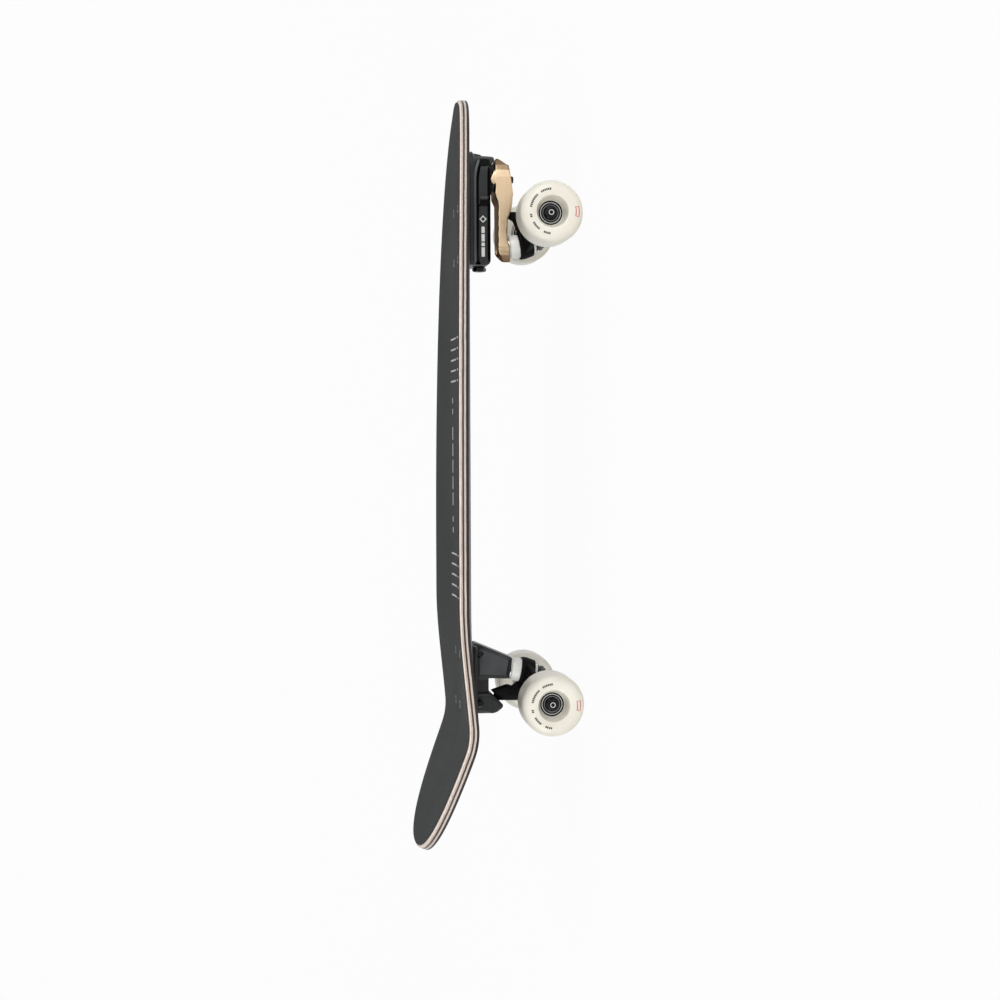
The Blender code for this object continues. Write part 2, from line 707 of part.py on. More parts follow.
def make_stack(name, upper, truck):
    """Bushings, washers and nut along the kingpin."""
    bore = KINGPIN_BORE / 2
    place = KINGPIN_PLACE

    def ring(part, outer, low, high, material, narrow=0.0, bulge=0.0):
        wide = outer / 2
        end = narrow / 2 if narrow else wide
        middle = ((wide + end) / 2, (low + high) / 2)
        profile = [(bore, low), (wide - bulge, low), middle, (end - bulge, high), (bore, high)]
        solid(f"{name}_{part}", turned(profile, MEDIUM, place), material, KINGPIN_FACE, truck)

    washer_end = CUP_WASHER_AT + WASHER_THICKNESS
    ring(f"{upper}_washer", CUP_WASHER, CUP_WASHER_AT, washer_end, steel())
    wide, height = UPPER_BUSHING
    urethane = bushing_urethane()
    end = UPPER_BUSHING_AT + height
    ring(f"{upper}_bushing", wide, UPPER_BUSHING_AT, end, urethane, bulge=BUSHING_BULGE)
    wide, narrow, height = LOWER_BUSHING
    ring("roadside_bushing", wide, LOWER_BUSHING_AT, LOWER_BUSHING_AT + height, urethane, narrow)
    ring("roadside_washer", LOW_WASHER, LOW_WASHER_AT, LOW_WASHER_AT + WASHER_THICKNESS, steel())
    nut = nut_shape(KINGPIN_NUT_WIDTH, KINGPIN_DIAMETER, KINGPIN_NUT_AT, KINGPIN_NUT_END, place)
    solid(f"{name}_kingpin_nut", nut, steel(), KINGPIN_FACE, truck)


def nut_shape(width, bore, low, high, place):
    """A six-sided nut with its outer corners turned off at both ends."""
    hole = bore / 2 + GAP
    flat = width / 2
    rim = flat - NUT_RIM
    profile = [(hole, low), (rim, low), (flat, low + BEVEL, 6)]
    profile += [(flat, high - BEVEL, 6), (rim, high), (hole, high)]
    return turned(profile, HEXED, place)


class Pivot:
    """The ball joint at a stem's end: its mouth, the way in and the middle of the ball."""

    def __init__(self, mouth, inward, depth, root):
        self.mouth = mouth
        self.way = Vector((math.cos(inward), 0, math.sin(inward)))
        self.depth = depth
        self.middle = mouth + self.way * depth
        self.root = root
        self.length = depth + STEM_BALL / 2 + GAP + CUP_WALL


REAR_PIVOT = Pivot(REAR_PIVOT_FACE, REAR_PIVOT_INWARD, REAR_PIVOT_DEPTH, REAR_STEM_ROOT)
FRONT_PIVOT = Pivot(FRONT_PIVOT_FACE, FRONT_PIVOT_INWARD, FRONT_PIVOT_DEPTH, FRONT_STEM_ROOT)
CUP_OUTER = STEM_BALL / 2 + GAP + CUP_WALL


def make_pivot_cup(name, pivot, truck):
    seat = STEM_BALL / 2 + GAP
    profile = [(0, pivot.length), (CUP_OUTER, pivot.length), (CUP_OUTER, 0), (seat + CUP_MOUTH, 0)]
    for k in range(4):
        turn = math.radians(90) * k / 3
        radius = seat * math.cos(turn) if k < 3 else 0
        profile.append((radius, pivot.depth + seat * math.sin(turn)))
    cup = turned(profile, MEDIUM, along(pivot.way, pivot.mouth))
    solid(f"{name}_pivot_cup", cup, black_rubber(), pivot.mouth, truck)


def make_pivot_cutter(name, pivot, truck):
    """The cup's seat, run on outwards past whatever overhangs its mouth."""
    wide = 2 * (CUP_OUTER + GAP)
    place = along(pivot.way, pivot.mouth)
    bore = rod(wide, -wide, pivot.length + GAP, MEDIUM, place)
    return helper(f"{name}_pivot_cutter", bore, truck)


def make_hanger(name, pivot, truck, axis):
    """Axle tube, ring, wings and ball stem, joined, then bored for the axle, kingpin and bushings."""
    end, middle = TUBE_END / 2, TUBE_MIDDLE / 2
    half = HANGER_HALF
    thick = TUBE_THICK_HALF
    profile = [(0, -half), (end - BEVEL, -half), (end, BEVEL - half), (middle, -thick)]
    profile += [(middle, thick), (end, half - BEVEL), (end - BEVEL, half), (0, half)]
    tube = turned(profile, MEDIUM, along(Y_AXIS))
    hanger = solid(f"{name}_hanger", tube, black_paint(), RING_SEAT, axis)

    rim, low = RING_AT - RING_LIP, RING_AT + RING_WEB
    outer = RING_OUTER / 2
    ring = [(0, rim), (outer - BEVEL, rim), (outer, rim + BEVEL), (outer, low - BEVEL)]
    ring += [(outer - 2 * BEVEL, low + RING_LIP), (0, low + RING_LIP)]
    pieces = {"ring": turned(ring, FINE, KINGPIN_PLACE)}
    for side, word in ((1, "left"), (-1, "right")):
        out = Y_AXIS * side
        points = disc(out * WING_HALF, out, WING_TIP / 2)
        for depth, drawn_in in zip((RING_AT + BEVEL, low - BEVEL), WING_INSET):
            middle_of_ring = KINGPIN_FACE + KINGPIN_DOWN * depth
            points += disc(middle_of_ring, KINGPIN_DOWN, outer - drawn_in)
        pieces[f"{word}_wing"] = hull(points)
    foot = []
    for side in (1, -1):
        foot += ball(Y_AXIS * side * WEB_FOOT_HALF, middle - BEVEL)
    root, neck = ball(pivot.root, STEM_ROOT / 2), ball(pivot.mouth, STEM_NECK / 2)
    pieces["web"] = hull(foot + root)
    pieces["stem"] = hull(root + neck)
    pieces["neck"] = hull(neck + ball(pivot.middle, STEM_NECK / 2 - GAP))
    pieces["ball"] = hull(ball(pivot.middle, STEM_BALL / 2, 12))
    for word, shape in pieces.items():
        combine(hanger, helper(f"{name}_hanger_{word}", shape, truck), "UNION")

    cup, hole, scoop = UPPER_BUSHING[0] / 2 + BUSHING_PLAY, RING_HOLE / 2, NUT_SCOOP / 2
    high, deep = rim - 2 * RING_LIP, KINGPIN_NUT_END + 2 * TUBE_MIDDLE
    bore = [(0, high), (cup, high), (cup, RING_AT), (hole, RING_AT), (hole, low)]
    bore += [(scoop, low), (scoop, deep), (0, deep)]
    ring_bore = turned(bore, FINE, KINGPIN_PLACE)
    combine(hanger, helper(f"{name}_ring_bore", ring_bore, truck), "DIFFERENCE")
    reach = half + THROUGH
    axle_bore = rod(AXLE_DIAMETER + 2 * GAP, -reach, reach, COARSE, along(Y_AXIS))
    combine(hanger, helper(f"{name}_axle_bore", axle_bore, truck), "DIFFERENCE")


# Places along the axle, from the truck's middle outwards

INNER_BEARING_AT = HANGER_HALF + GAP
SPACER_AT = INNER_BEARING_AT + BEARING_WIDTH + GAP
OUTER_BEARING_AT = SPACER_AT + SPACER_LENGTH + GAP
AXLE_NUT_AT = OUTER_BEARING_AT + BEARING_WIDTH + GAP
AXLE_END = AXLE_NUT_AT + AXLE_NUT_HEIGHT + AXLE_TIP
WHEEL_AT = SPACER_AT + SPACER_LENGTH / 2 + HUB_OFFSET


def wheel_profile():
    """Tread, lips, the two dishes, the core's rings and the bearing seats, as (radius, height)."""
    radius, half = WHEEL_DIAMETER / 2, WHEEL_WIDTH / 2
    seat = BEARING_OUTER / 2 + GAP
    core = seat + CORE_WALL
    shoulder = BEARING_OUTER / 2 - BEARING_SHOULDER
    inner_face, outer_face = INNER_BEARING_AT - WHEEL_AT, OUTER_BEARING_AT + BEARING_WIDTH - WHEEL_AT
    inner_stop, outer_stop = SPACER_AT - WHEEL_AT, SPACER_AT + SPACER_LENGTH - WHEEL_AT
    profile = []
    for k in range(LIP_STEPS + 1):
        turn = math.radians(90) * k / LIP_STEPS
        out, up = math.cos(turn), math.sin(turn)
        profile.append((radius - WHEEL_LIP * (1 - out), half - WHEEL_LIP * (1 - up)))
    drawn_in, share = DISH_DEPTH
    for face, side, stop in ((outer_face, 1, outer_stop), (inner_face, -1, inner_stop)):
        level = side * face
        dish = [(DISH_RADIUS, half)]
        dish.append(((DISH_RADIUS + core) / 2 - drawn_in, half - share * (half - level)))
        dish += [(core + CORE_EDGE, level), (core, level + CORE_PROUD)]
        dish += [(seat, level + CORE_PROUD), (seat, side * stop)]
        flank = dish + [(shoulder, side * stop)]
        if side > 0:
            profile += flank
        else:
            profile += [(r, -h) for r, h in reversed(flank)]
    lip = [(r, -h) for r, h in reversed(profile[:LIP_STEPS + 1])]
    return profile + lip


def make_wheel(name, out, axis):
    """A wheel on its two bearings, with the spacer between them and the nut that holds it."""
    way = Y_AXIS * out
    centre = way * WHEEL_AT
    tyre = turned(wheel_profile(), WHEEL_SIDES, along(way, centre))
    wheel = solid(f"{name}_wheel", tyre, wheel_urethane(), centre, axis, sharp=28)
    outer, bore, width = BEARING_OUTER / 2, AXLE_DIAMETER / 2 + GAP, BEARING_WIDTH
    plain = [(outer, 0), (outer, width), (bore, width)]
    race, sunken = SHIELD
    shield = [(bore, sunken), (outer - race, sunken), (outer - race, 0)]
    inner = turned(plain + [(bore, 0)], COARSE, along(way, way * INNER_BEARING_AT))
    solid(f"{name}_inner_bearing", inner, steel(), centre, wheel)
    outer_race = turned(plain + shield, COARSE, along(-way, way * (OUTER_BEARING_AT + width)))
    solid(f"{name}_outer_bearing", outer_race, steel(), centre, wheel)
    wall = bore + SPACER_WALL
    tube = [(bore, 0), (wall, 0), (wall, SPACER_LENGTH), (bore, SPACER_LENGTH)]
    spacer = turned(tube, HEXED, along(way, way * SPACER_AT))
    solid(f"{name}_bearing_spacer", spacer, steel(), centre, axis)
    nut_end = AXLE_NUT_AT + AXLE_NUT_HEIGHT
    nut = nut_shape(AXLE_NUT_WIDTH, AXLE_DIAMETER, AXLE_NUT_AT, nut_end, along(way))
    solid(f"{name}_axle_nut", nut, black_steel(), centre, axis)


def make_truck(name, upper, pivot, grip, truck, facing):
    """Everything between a truck's mounting and the road. Facing is -1 where the frame is turned."""
    axis = frame(f"{name}_tilt_axis", RING_SEAT, truck)
    make_kingpin(name, grip, truck)
    make_stack(name, upper, truck)
    make_pivot_cup(name, pivot, truck)
    make_hanger(name, pivot, truck, axis)
    axle = rod(AXLE_DIAMETER, -AXLE_END, AXLE_END, COARSE, along(Y_AXIS), BEVEL)
    solid(f"{name}_axle", axle, steel(), RING_SEAT, axis)
    for side, word in ((1, "left"), (-1, "right")):
        make_wheel(f"{name}_{word}", side * facing, axis)


# Rear baseplate

def plate_outline():
    half, side = FLANGE_LENGTH / 2, FLANGE_WIDTH / 2
    tail, nose = FLANGE_MIDDLE - half, FLANGE_MIDDLE + half
    corners = [(tail, -side), (nose, -side), (nose, side), (tail, side)]
    return rounded(corners, FLANGE_CORNER)


def boss_outline():
    """The kingpin boss from the side: its low face is square to the kingpin."""
    run = Vector((math.cos(KINGPIN_TILT), -math.sin(KINGPIN_TILT)))
    face = Vector((KINGPIN_FACE.x, KINGPIN_FACE.z))
    inboard, outboard = face + run * BOSS_INBOARD, face - run * BOSS_OUTBOARD
    top = FLANGE_BOTTOM - AXLE_HEIGHT
    return [(BOSS_ROOT[0], top), tuple(inboard), tuple(outboard), (BOSS_ROOT[1], top)]


def pivot_boss_outline():
    """The pivot boss from the side: a flat slanted face, with a round back."""
    face = Vector((REAR_PIVOT_FACE.x, REAR_PIVOT_FACE.z))
    run = Vector((math.sin(REAR_PIVOT_INWARD), -math.cos(REAR_PIVOT_INWARD)))
    top = FLANGE_BOTTOM - AXLE_HEIGHT
    high = face + run * PIVOT_FACE_UP
    low = face - run * PIVOT_FACE_DOWN
    back = face.x - PIVOT_BACK
    corners = [(high.x, top), (*high, 0), (*low, PIVOT_LOW_CORNER)]
    corners += [(back, low.y + PIVOT_BACK_RISE, PIVOT_BACK_CORNER), (back, top)]
    return rounded(corners, 0)


def make_rear_baseplate(truck, holes):
    """Riser and cast baseplate: flange, hollow-sided kingpin boss, web and pivot boss."""
    centre = (FLANGE_MIDDLE, 0, RISER_TOP)
    plan = plate_outline()
    riser = prism(plan, RISER_TOP - RISER_THICKNESS, RISER_TOP)
    riser_pad = solid("rear_riser_pad", riser, black_rubber(), centre)
    combine(riser_pad, holes, "DIFFERENCE")
    flange = prism(inset(plan, RISER_PROUD), FLANGE_BOTTOM, FLANGE_TOP, edge=BEVEL)
    plate = solid("rear_baseplate", flange, black_paint(), centre)

    sunk = FLANGE_THICKNESS / 2
    boss = boss_outline()
    top = boss[0][1] + sunk
    boss_block = [(boss[0][0], top)] + boss + [(boss[3][0], top)]
    half = BOSS_WIDTH / 2
    boss_block = rounded(boss_block, 2 * BEVEL, 2)
    pieces = {"kingpin_boss": prism(boss_block, -half, half, across(), BEVEL)}
    pivot = pivot_boss_outline()
    pivot_block = [(x, z + sunk if z == pivot[0][1] else z) for x, z in pivot]
    half = PIVOT_BOSS_WIDTH / 2
    pieces["pivot_boss"] = prism(pivot_block, -half, half, across(), PIVOT_BOSS_EDGE)
    inboard, outboard = BOSS_ROOT[1] + 2 * THROUGH, REAR_PIVOT_FACE.x + 2 * THROUGH
    web = [(inboard, top), (inboard, WEB_LOW), (outboard, WEB_LOW), (outboard, top)]
    pieces["web"] = prism(web, -WEB_WIDTH / 2, WEB_WIDTH / 2, across())
    for word, shape in pieces.items():
        combine(plate, helper(f"rear_{word}", shape, truck), "UNION")
    panel = rounded(inset(boss, BOSS_RIM), 2 * BEVEL, 2)
    sunken, proud = BOSS_WIDTH / 2 - BOSS_PANEL, BOSS_WIDTH / 2 + THROUGH
    for word, low, high in (("left", sunken, proud), ("right", -proud, -sunken)):
        hollow = prism(panel, low, high, across())
        combine(plate, helper(f"rear_boss_panel_{word}", hollow, truck), "DIFFERENCE")
    grip = kingpin_grip(FLANGE_TOP - AXLE_HEIGHT)
    combine(plate, make_kingpin_cutter("rear", grip, truck), "DIFFERENCE")
    combine(plate, make_pivot_cutter("rear", REAR_PIVOT, truck), "DIFFERENCE")
    combine(plate, holes, "DIFFERENCE")
    return grip


# Front housing, swing arm and what is between them

THRUST_WASHER_AT = ARM_TOP + GAP
HOUSING_BOSS_LOW = THRUST_WASHER_AT + THRUST_WASHER[1] + GAP
LOWER_SWING_BEARING_AT = HOUSING_BOSS_LOW + SHOULDER_THICKNESS + GAP
UPPER_SWING_BEARING_AT = LOWER_SWING_BEARING_AT + SWING_BEARING[2] + GAP
CRANK_AT = UPPER_SWING_BEARING_AT + SWING_BEARING[2] + GAP
SWING_AXIS = Vector((SWING_X, 0, ARM_TOP))


def housing_plan(width, nose, tail_corner, nose_corner):
    side = width / 2
    corners = [(HOUSING_TAIL_X, -side, tail_corner), (nose, -side, nose_corner)]
    corners += [(nose, side, nose_corner), (HOUSING_TAIL_X, side, tail_corner)]
    return rounded(corners, 0, 4)


def make_housing(holes):
    """The black casting that holds the swing pivot, open towards the deck."""
    nose, tail = HOUSING_NOSE_X, HOUSING_TAIL_X
    corners = (HOUSING_TAIL_CORNER, HOUSING_NOSE_CORNER)
    plan = housing_plan(HOUSING_FLANGE_WIDTH, nose, *corners)
    flange = prism(plan, HOUSING_SEAT, HOUSING_TOP, edge=BEVEL)
    housing = solid("front_housing", flange, black_paint(), (SWING_X, 0, HOUSING_TOP))
    step = housing_plan(HOUSING_FLANGE_WIDTH - 2 * HOUSING_STEP, nose - HOUSING_STEP, *corners)
    step_low = HOUSING_SEAT - HOUSING_STEP
    top = HOUSING_SEAT + BEVEL
    combine(housing, helper("housing_step", prism(step, step_low, top)), "UNION")
    boss_top = HOUSING_BOTTOM + THROUGH
    boss = rod(THRUST_BOSS, HOUSING_BOSS_LOW, boss_top, FINE, at_swing())
    combine(housing, helper("housing_thrust_boss", boss), "UNION")
    combine(housing, housing_body(step_low, top), "UNION")

    cutters = {"hollow": hollow_shape(), "crank_room": crank_room_shape()}
    cutters["bearing_bore"] = bearing_bore_shape()
    place = along(X_AXIS, (0, 0, SPRING_HEIGHT))
    screw_hole = ADJUSTER_SCREW + 2 * GAP
    cutters["adjuster_hole"] = rod(screw_hole, tail - THROUGH, HOLLOW_TAIL_X + THROUGH, COARSE, place)
    cutters["nut_pockets"] = nut_pockets_shape()
    for word, shape in cutters.items():
        combine(housing, helper(f"housing_{word}", shape), "DIFFERENCE")
    combine(housing, holes, "DIFFERENCE")


def housing_body(step_low, top):
    """The casting under its flange: its side view, cut to its plan, with a hollow in each side."""
    nose, tail = HOUSING_NOSE_X, HOUSING_TAIL_X
    bottom, lip = HOUSING_BOTTOM, HOUSING_LIP
    slope_start, slope_end = SWING_X + LIP_SLOPE[0], SWING_X + LIP_SLOPE[1]
    front = nose - 3 * HOUSING_STEP
    view = [(tail, top, 0), (tail, bottom, HOUSING_TAIL_CORNER), (slope_start, bottom, 3 * BEVEL)]
    view += [(slope_end, lip, BEVEL), (front, lip, 2 * BEVEL), (nose - HOUSING_STEP, top, 0)]
    plan = housing_plan(HOUSING_WIDTH, nose - 2 * HOUSING_STEP, HOUSING_TAIL_CORNER, HOUSING_NOSE_CORNER)
    body = helper("housing_body", prism(plan, lip - THROUGH, top - BEVEL / 2))
    half = HOUSING_WIDTH / 2 + THROUGH
    side_view = prism(rounded(view, 0, 3), -half, half, across())
    combine(body, helper("housing_side_view", side_view), "INTERSECT")
    low, high = bottom + PANEL_RIM, step_low - PANEL_RIM
    start = tail + PANEL_RIM
    panel = [(start, low, HOUSING_TAIL_CORNER - PANEL_RIM), (PANEL_NOSE_X, low)]
    panel += [(PANEL_NOSE_X, high), (start, high)]
    sunken, proud = HOUSING_WIDTH / 2 - PANEL_DEPTH, HOUSING_WIDTH / 2 + THROUGH
    for word, inner, outer in (("left", sunken, proud), ("right", -proud, -sunken)):
        hollow = prism(rounded(panel, BEVEL, 2), inner, outer, across())
        combine(body, helper(f"housing_panel_{word}", hollow), "DIFFERENCE")
    return body


def at_swing(height=0.0):
    return Matrix.Translation((SWING_X, 0, height))


def hollow_shape():
    front = SWING_X - SWING_BEARING[0] / 2 - HOUSING_WALL
    outline = [(HOLLOW_TAIL_X, -HOLLOW_HALF), (front, -HOLLOW_HALF)]
    outline += [(front, HOLLOW_HALF), (HOLLOW_TAIL_X, HOLLOW_HALF)]
    return prism(outline, HOLLOW_FLOOR, HOUSING_TOP + THROUGH)


def crank_room_shape():
    """Room over the bearings for the crank, round the swing axis and back to the spring."""
    corners = [(SWING_X - CRANK_RADIUS, -HOLLOW_HALF), (SWING_X, -HOLLOW_HALF)]
    for k in range(1, 8):
        turn = math.radians(-90 + 180 * k / 8)
        corners.append((SWING_X + HOLLOW_HALF * math.cos(turn), HOLLOW_HALF * math.sin(turn)))
    corners += [(SWING_X, HOLLOW_HALF), (SWING_X - CRANK_RADIUS, HOLLOW_HALF)]
    return prism(corners, CRANK_AT - GAP / 2, HOUSING_TOP + THROUGH)


def bearing_bore_shape():
    """The seat of the two bearings, with the shoulder that the lower one stands on."""
    seat, shoulder = SWING_BEARING[0] / 2 + GAP, SHOULDER_OPENING / 2
    stop = LOWER_SWING_BEARING_AT - GAP
    top, low = CRANK_AT + THROUGH, HOUSING_BOSS_LOW - THROUGH
    profile = [(0, top), (seat, top), (seat, stop), (shoulder, stop), (shoulder, low), (0, low)]
    return turned(profile, FINE, at_swing())


def nut_pockets_shape():
    """Slots from the sides to the lock nuts, one block for each bolt."""
    reach = HOUSING_FLANGE_WIDTH / 2 + THROUGH
    low, high = HOUSING_SEAT - LOCK_NUT_HEIGHT - BOLT_TIP - 3 * GAP, HOUSING_SEAT
    half = LOCK_NUT_WIDTH / 2 + NUT_POCKET_PLAY
    blocks = []
    for x, y in bolt_places(FRONT_BOLTS_X):
        side = math.copysign(1, y)
        inner = y - side * half
        outline = [(x - half, side * reach, 0), (x - half, inner, half), (x + half, inner, half)]
        outline.append((x + half, side * reach, 0))
        blocks.append(prism(rounded(outline, 0, 2), low, high))
    return merged(blocks)


def make_swing_parts(axis):
    """Bearings, shaft with its crank, thrust washer and nut."""
    outer, bore, width = (SWING_BEARING[0] / 2, SWING_BEARING[1] / 2, SWING_BEARING[2])
    for word, low in (("lower", LOWER_SWING_BEARING_AT), ("upper", UPPER_SWING_BEARING_AT)):
        hole = bore + GAP
        races = [(hole, 0), (outer, 0), (outer, width), (hole, width)]
        bearing = turned(races, MEDIUM, at_swing(low))
        solid(f"swing_{word}_bearing", bearing, steel(), (SWING_X, 0, low))
    hub = CRANK_HUB / 2
    tip = SHAFT_TIP / 2
    top, end = CRANK_AT + CRANK_THICKNESS, PIVOT_NUT_SEAT + GAP
    profile = [(0, top), (hub, top), (hub, CRANK_AT), (bore, CRANK_AT), (bore, end), (tip, end)]
    profile += [(tip, SHAFT_TIP_Z + BEVEL), (tip - BEVEL, SHAFT_TIP_Z), (0, SHAFT_TIP_Z)]
    pivot = turned(profile, MEDIUM, at_swing())
    shaft = solid("swing_pivot_shaft", pivot, black_steel(), SWING_AXIS, axis)
    half = CRANK_WIDTH / 2
    end = SWING_X - CRANK_RADIUS - half
    arm = [(SWING_X, half, 0), (SWING_X, -half, 0), (end, -half, half), (end, half, half)]
    crank = prism(rounded(arm, 0, 5), CRANK_AT + GAP, top - GAP)
    combine(shaft, helper("crank_arm", crank, axis), "UNION")
    pin_low, pin_high = SPRING_HEIGHT - SPRING_DIAMETER / 2, CRANK_AT + CRANK_THICKNESS / 2
    place = Matrix.Translation((SWING_X - CRANK_RADIUS, 0, 0))
    pin = rod(CRANK_PIN, pin_low, pin_high, COARSE, place)
    combine(shaft, helper("crank_pin", pin, axis), "UNION")
    washer_outer, thickness = THRUST_WASHER[0] / 2, THRUST_WASHER[1]
    hole = bore + GAP
    flat = [(hole, 0), (washer_outer, 0), (washer_outer, thickness), (hole, thickness)]
    washer = turned(flat, MEDIUM, at_swing(THRUST_WASHER_AT))
    solid("swing_thrust_washer", washer, steel(), SWING_AXIS, axis)
    nut_high = PIVOT_NUT_SEAT - GAP
    nut = nut_shape(PIVOT_NUT_WIDTH, SHAFT_TIP, nut_high - PIVOT_NUT_HEIGHT, nut_high, at_swing())
    solid("swing_pivot_nut", nut, black_steel(), SWING_AXIS, axis)


def arm_side_view():
    """The arm from the side, as (place along the board, height, corner radius)."""
    edge, soft, round_off = BEVEL, 4 * BEVEL, 10 * BEVEL
    nose, top, back = SWING_X + ARM_HEAD / 2, ARM_TOP, ARM_TOP - ARM_STEP
    view = [(nose, top - ARM_NOSE[1], 0), (nose - ARM_NOSE[0], top, soft)]
    view += [(SWING_X - ARM_HEAD_END[0], top, soft), (SWING_X - ARM_HEAD_END[1], back, soft)]
    face_x, face_z = FRONT_AXLE_X - KINGPIN_FACE.x, AXLE_HEIGHT + KINGPIN_FACE.z
    tail = face_x - ARM_TAIL / 2
    view += [(tail + ARM_TAIL_SLOPE[0], back, round_off), (tail, back - ARM_TAIL_SLOPE[1], soft)]
    slope = math.tan(KINGPIN_TILT)
    reach = UPPER_BUSHING[0] / 2
    view += [(tail, face_z - slope * ARM_TAIL / 2, edge), (face_x + reach, face_z + slope * reach, 0)]
    pivot_x, pivot_z = FRONT_AXLE_X - FRONT_PIVOT_FACE.x, AXLE_HEIGHT + FRONT_PIVOT_FACE.z
    run = Vector((math.sin(FRONT_PIVOT_INWARD), math.cos(FRONT_PIVOT_INWARD)))
    run *= ARM_PIVOT_FACE / 2
    view += [(pivot_x - run.x, pivot_z - run.y, 0), (pivot_x + run.x, pivot_z + run.y, edge)]
    for x, z in ARM_BELLY:
        view.append((SWING_X + x, pivot_z + z, round_off))
    view.append((nose, pivot_z + ARM_NOSE_LOW, soft))
    return view


def arm_plan():
    """The arm from above: a round head on the swing axis, drawn in to the round kingpin end."""
    head, tail = ARM_HEAD / 2, ARM_TAIL / 2
    tail_x = FRONT_AXLE_X - KINGPIN_FACE.x
    lean = math.asin((head - tail) / (SWING_X - tail_x))
    steps = 10
    outline = []
    for middle, radius, start, spread in ((SWING_X, head, -90, lean), (tail_x, tail, 90, -lean)):
        for k in range(steps + 1):
            turn = math.radians(start + 180 * k / steps) + spread * (2 * k / steps - 1)
            outline.append((middle + radius * math.cos(turn), radius * math.sin(turn)))
    return outline


def make_swing_arm(axis, truck):
    half = ARM_HEAD / 2 + THROUGH
    side_view = prism(rounded(arm_side_view(), 0, 3), -half, half, across())
    arm = solid("swing_arm", side_view, gold_anodised(), SWING_AXIS, axis)
    low, high = SHAFT_TIP_Z - ARM_NOSE_LOW, ARM_TOP + THROUGH
    plan = prism(arm_plan(), low, high)
    combine(arm, helper("arm_plan", plan, axis), "INTERSECT")
    bore, seat = SWING_BEARING[1] / 2 + GAP, PIVOT_NUT_SEAT
    pocket = PIVOT_NUT_WIDTH / 2 / math.cos(math.radians(30)) + PIVOT_NUT_PLAY
    profile = [(0, high), (bore, high), (bore, seat), (pocket, seat), (pocket, low), (0, low)]
    combine(arm, helper("arm_shaft_bore", turned(profile, FINE, at_swing()), axis), "DIFFERENCE")
    grip = kingpin_grip(ARM_TOP - ARM_STEP - AXLE_HEIGHT)
    combine(arm, make_kingpin_cutter("front", grip, truck), "DIFFERENCE")
    combine(arm, make_pivot_cutter("front", FRONT_PIVOT, truck), "DIFFERENCE")
    return grip


# Centring spring and adjuster

SPRING_NOSE = SWING_X - CRANK_RADIUS - CRANK_PIN / 2 - GAP
SPRING_TAIL = ANCHOR_X + ANCHOR[1] + GAP


def spring_points():
    """The wire's middle line: a helix whose ends run in to its axis and straight for a wire's width."""
    start, end = SPRING_TAIL + SPRING_WIRE, SPRING_NOSE - SPRING_WIRE
    count = SPRING_CURLS * CURL_POINTS
    points = [Vector((SPRING_TAIL, 0, SPRING_HEIGHT))]
    for k in range(count + 1):
        share = k / count
        ease = min(1, 2 * SPRING_CURLS * min(share, 1 - share))
        radius = SPRING_DIAMETER / 2 * math.sin(math.radians(90) * ease)
        turn = 2 * math.pi * k / CURL_POINTS
        x = start + (end - start) * share
        points.append(Vector((x, radius * math.cos(turn), SPRING_HEIGHT + radius * math.sin(turn))))
    points.append(Vector((SPRING_NOSE, 0, SPRING_HEIGHT)))
    return points


def least_gap(points, diameter):
    """The least distance between stretches of the wire that are over half a curl apart."""
    least = 1.0
    for i, here in enumerate(points):
        for there in points[i + CURL_POINTS // 2 + 1:]:
            least = min(least, (here - there).length)
    return least - diameter


def make_spring():
    points = spring_points()
    curve = bpy.data.curves.new("centring_spring", "CURVE")
    curve.dimensions = "3D"
    curve.bevel_depth = SPRING_WIRE / 2
    curve.bevel_resolution = 1
    curve.use_fill_caps = True
    path = curve.splines.new("POLY")
    path.points.add(len(points) - 1)
    centre = Vector((SPRING_NOSE, 0, SPRING_HEIGHT))
    for point, here in zip(path.points, points):
        point.co = (*(here - centre), 1)
    spring = bpy.data.objects.new("centring_spring", curve)
    bpy.context.scene.collection.objects.link(spring)
    spring.location = centre
    curve.materials.append(steel())
    print(f"centring_spring: least gap between curls {least_gap(points, SPRING_WIRE) / MM:.2f} mm")


def make_adjuster():
    """The hex head outside the housing, with the screw and the anchor inside, as one piece."""
    seat = HOUSING_TAIL_X - GAP
    flat, screw, anchor = ADJUSTER_HEAD_WIDTH / 2, ADJUSTER_SCREW / 2, ANCHOR[0] / 2
    low = seat - ADJUSTER_HEAD_HEIGHT
    profile = [(0, low), (flat - NUT_RIM, low), (flat, low + BEVEL, 6), (flat, seat, 6)]
    end = ANCHOR_X + ANCHOR[1]
    profile += [(screw, seat), (screw, ANCHOR_X), (anchor, ANCHOR_X), (anchor, end), (0, end)]
    place = along(X_AXIS, (0, 0, SPRING_HEIGHT))
    solid("tension_adjuster", turned(profile, HEXED, place), black_steel(), (seat, 0, SPRING_HEIGHT))


def main():
    clear_scene()
    holes = make_bolt_holes()
    deck = make_deck(holes)
    make_bolts("rear", REAR_BOLTS_X, FLANGE_BOTTOM, deck)
    make_bolts("front", FRONT_BOLTS_X, HOUSING_SEAT, deck)

    rear_truck = frame("rear_truck", (REAR_AXLE_X, 0, AXLE_HEIGHT), base=(0, 0, 0))
    grip = make_rear_baseplate(rear_truck, holes)
    make_truck("rear", "boardside", REAR_PIVOT, grip, rear_truck, 1)

    make_housing(holes)
    swing = frame("front_swing_axis", SWING_AXIS)
    front_truck = frame("front_truck", (FRONT_AXLE_X, 0, AXLE_HEIGHT), swing, (0, 0, 0), math.pi)
    make_swing_parts(swing)
    grip = make_swing_arm(swing, front_truck)
    make_truck("front", "armside", FRONT_PIVOT, grip, front_truck, -1)
    make_spring()
    make_adjuster()


main()
